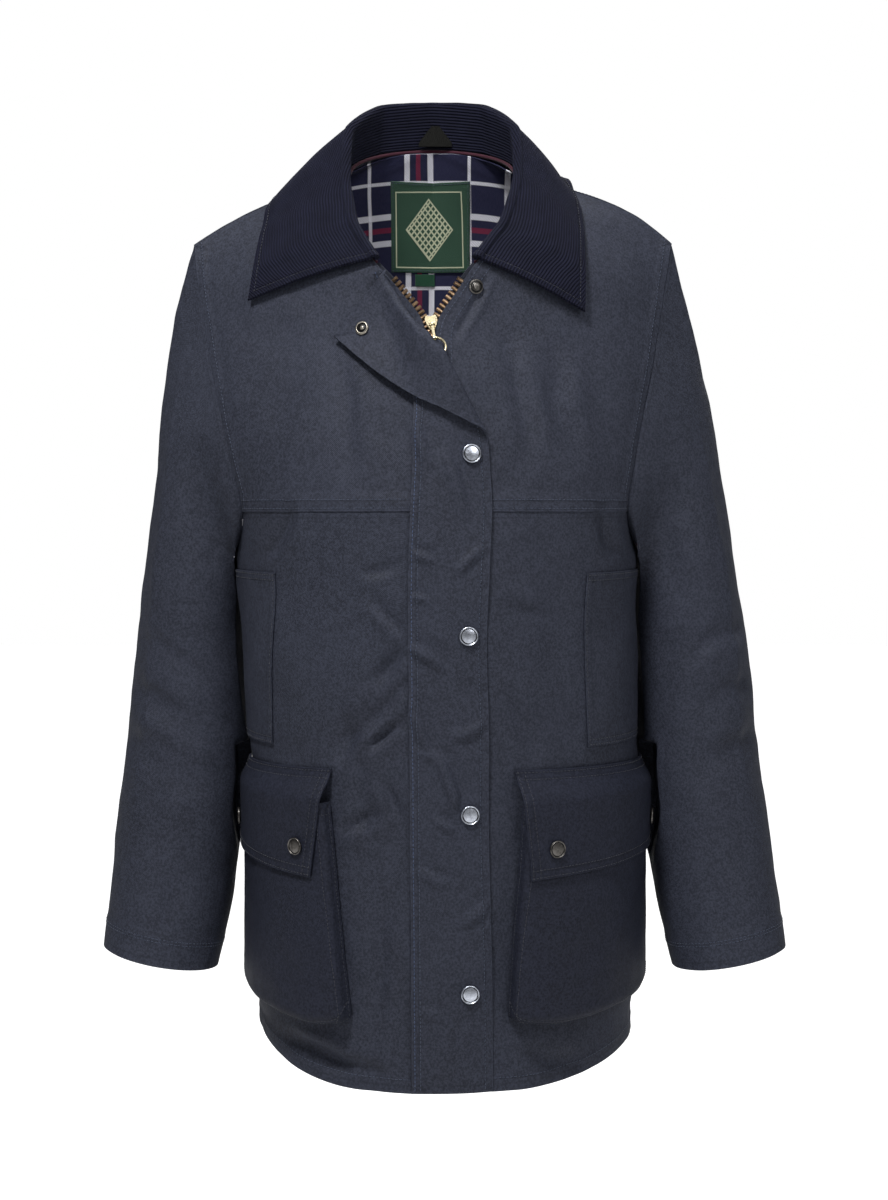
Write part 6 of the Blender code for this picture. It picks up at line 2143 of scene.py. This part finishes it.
def make_stage():
    """The pale floor, the air round the jacket, its lights and the camera."""
    scene = bpy.context.scene
    stage = scene.jacket_stage
    level = CAD_BOX[0][2] - stage.floor_drop
    corners = [(x * FLOOR_REACH, y * FLOOR_REACH, level) for x, y in ((-1, -1), (1, -1), (1, 1), (-1, 1))]
    s = Finish("pale floor", Roughness=0.9, Emission_Color=(1.0, 1.0, 1.0, 1.0))
    tone = s.mix(s.noise(s.place(), 2.0, 2.0), (0.86, 0.86, 0.86), (0.90, 0.90, 0.90))
    glow = s.times(s.add("ShaderNodeLightPath").outputs["Is Camera Ray"], 0.60)
    pale = s.feed(Base_Color=tone, Emission_Strength=glow)
    mesh_object("floor", corners, [(0, 1, 2, 3)], [pale])
    world = bpy.data.worlds.new("studio")
    world.use_nodes = True
    air = Nodes(world.node_tree)
    seen = air.add("ShaderNodeLightPath").outputs["Is Camera Ray"]
    strength = air.range(seen, 0.0, 1.0, 0.12 * stage.brightness, stage.brightness)
    air.wire(world.node_tree.nodes["Background"], Color=(1.0, 1.0, 1.0, 1.0), Strength=strength)
    scene.world = world
    scene.view_settings.view_transform = "Standard"
    for name, kind, spot, size, power in LIGHTS:
        light = bpy.data.lights.new(name, kind)
        if kind == "SUN":
            light.angle = size
        elif kind == "SPOT":
            light.spot_size, light.spot_blend, light.shadow_soft_size = size, 1.0, 0.10
        else:
            light.shape, light.size = "DISK", size
        light.energy = power * stage.brightness
        lamp = placed(name, light)
        lamp.location = spot
        aim = (NECK_AIM if kind == "SPOT" else AIM) - Vector(spot)
        lamp.rotation_euler = aim.to_track_quat("-Z", "Y").to_euler()
    lens = bpy.data.cameras.new("camera")
    lens.sensor_fit = "VERTICAL"
    lens.sensor_height = SENSOR_HEIGHT
    lens.lens = FOCAL_SHARE * SENSOR_HEIGHT
    scene.camera = placed("camera", lens)
    scene.camera.location = CAMERA_PLACE
    scene.camera.rotation_euler = (CAMERA_TILT, 0.0, 0.0)


OPERATORS = (
    JACKET_OT_stage, JACKET_OT_panels, JACKET_OT_pockets, JACKET_OT_storm_flap, JACKET_OT_collar,
    JACKET_OT_lining, JACKET_OT_zip, JACKET_OT_stitching,
)


class JACKET_PT_panel(bpy.types.Panel):
    """Lists the jacket's settings and its steps."""

    bl_idname = "JACKET_PT_panel"
    bl_label = "Waxed Cotton Jacket"
    bl_space_type = "VIEW_3D"
    bl_region_type = "UI"
    bl_category = "Jacket"

    def draw(self, context):
        for settings in (context.scene.jacket_cloth, context.scene.jacket_trim, context.scene.jacket_stage):
            box = self.layout.box()
            for name in settings.bl_rna.properties.keys():
                if name not in ("rna_type", "name"):
                    box.prop(settings, name)
        for operator in OPERATORS:
            self.layout.operator(operator.bl_idname)


SETTINGS = {"jacket_cloth": JacketCloth, "jacket_trim": JacketTrim, "jacket_stage": JacketStage}


def register():
    for made in (*SETTINGS.values(), *OPERATORS, JACKET_PT_panel):
        bpy.utils.register_class(made)
    for name, made in SETTINGS.items():
        setattr(bpy.types.Scene, name, PointerProperty(type=made))


def unregister():
    for name in SETTINGS:
        delattr(bpy.types.Scene, name)
    for made in (JACKET_PT_panel, *reversed(OPERATORS), *SETTINGS.values()):
        bpy.utils.unregister_class(made)


def main():
    register()
    bpy.ops.jacket.stage()
    bpy.ops.jacket.panels()
    bpy.ops.jacket.pockets()
    bpy.ops.jacket.storm_flap()
    bpy.ops.jacket.collar()
    bpy.ops.jacket.lining()
    bpy.ops.jacket.zip()
    bpy.ops.jacket.stitching()


if __name__ == "__main__":
    main()
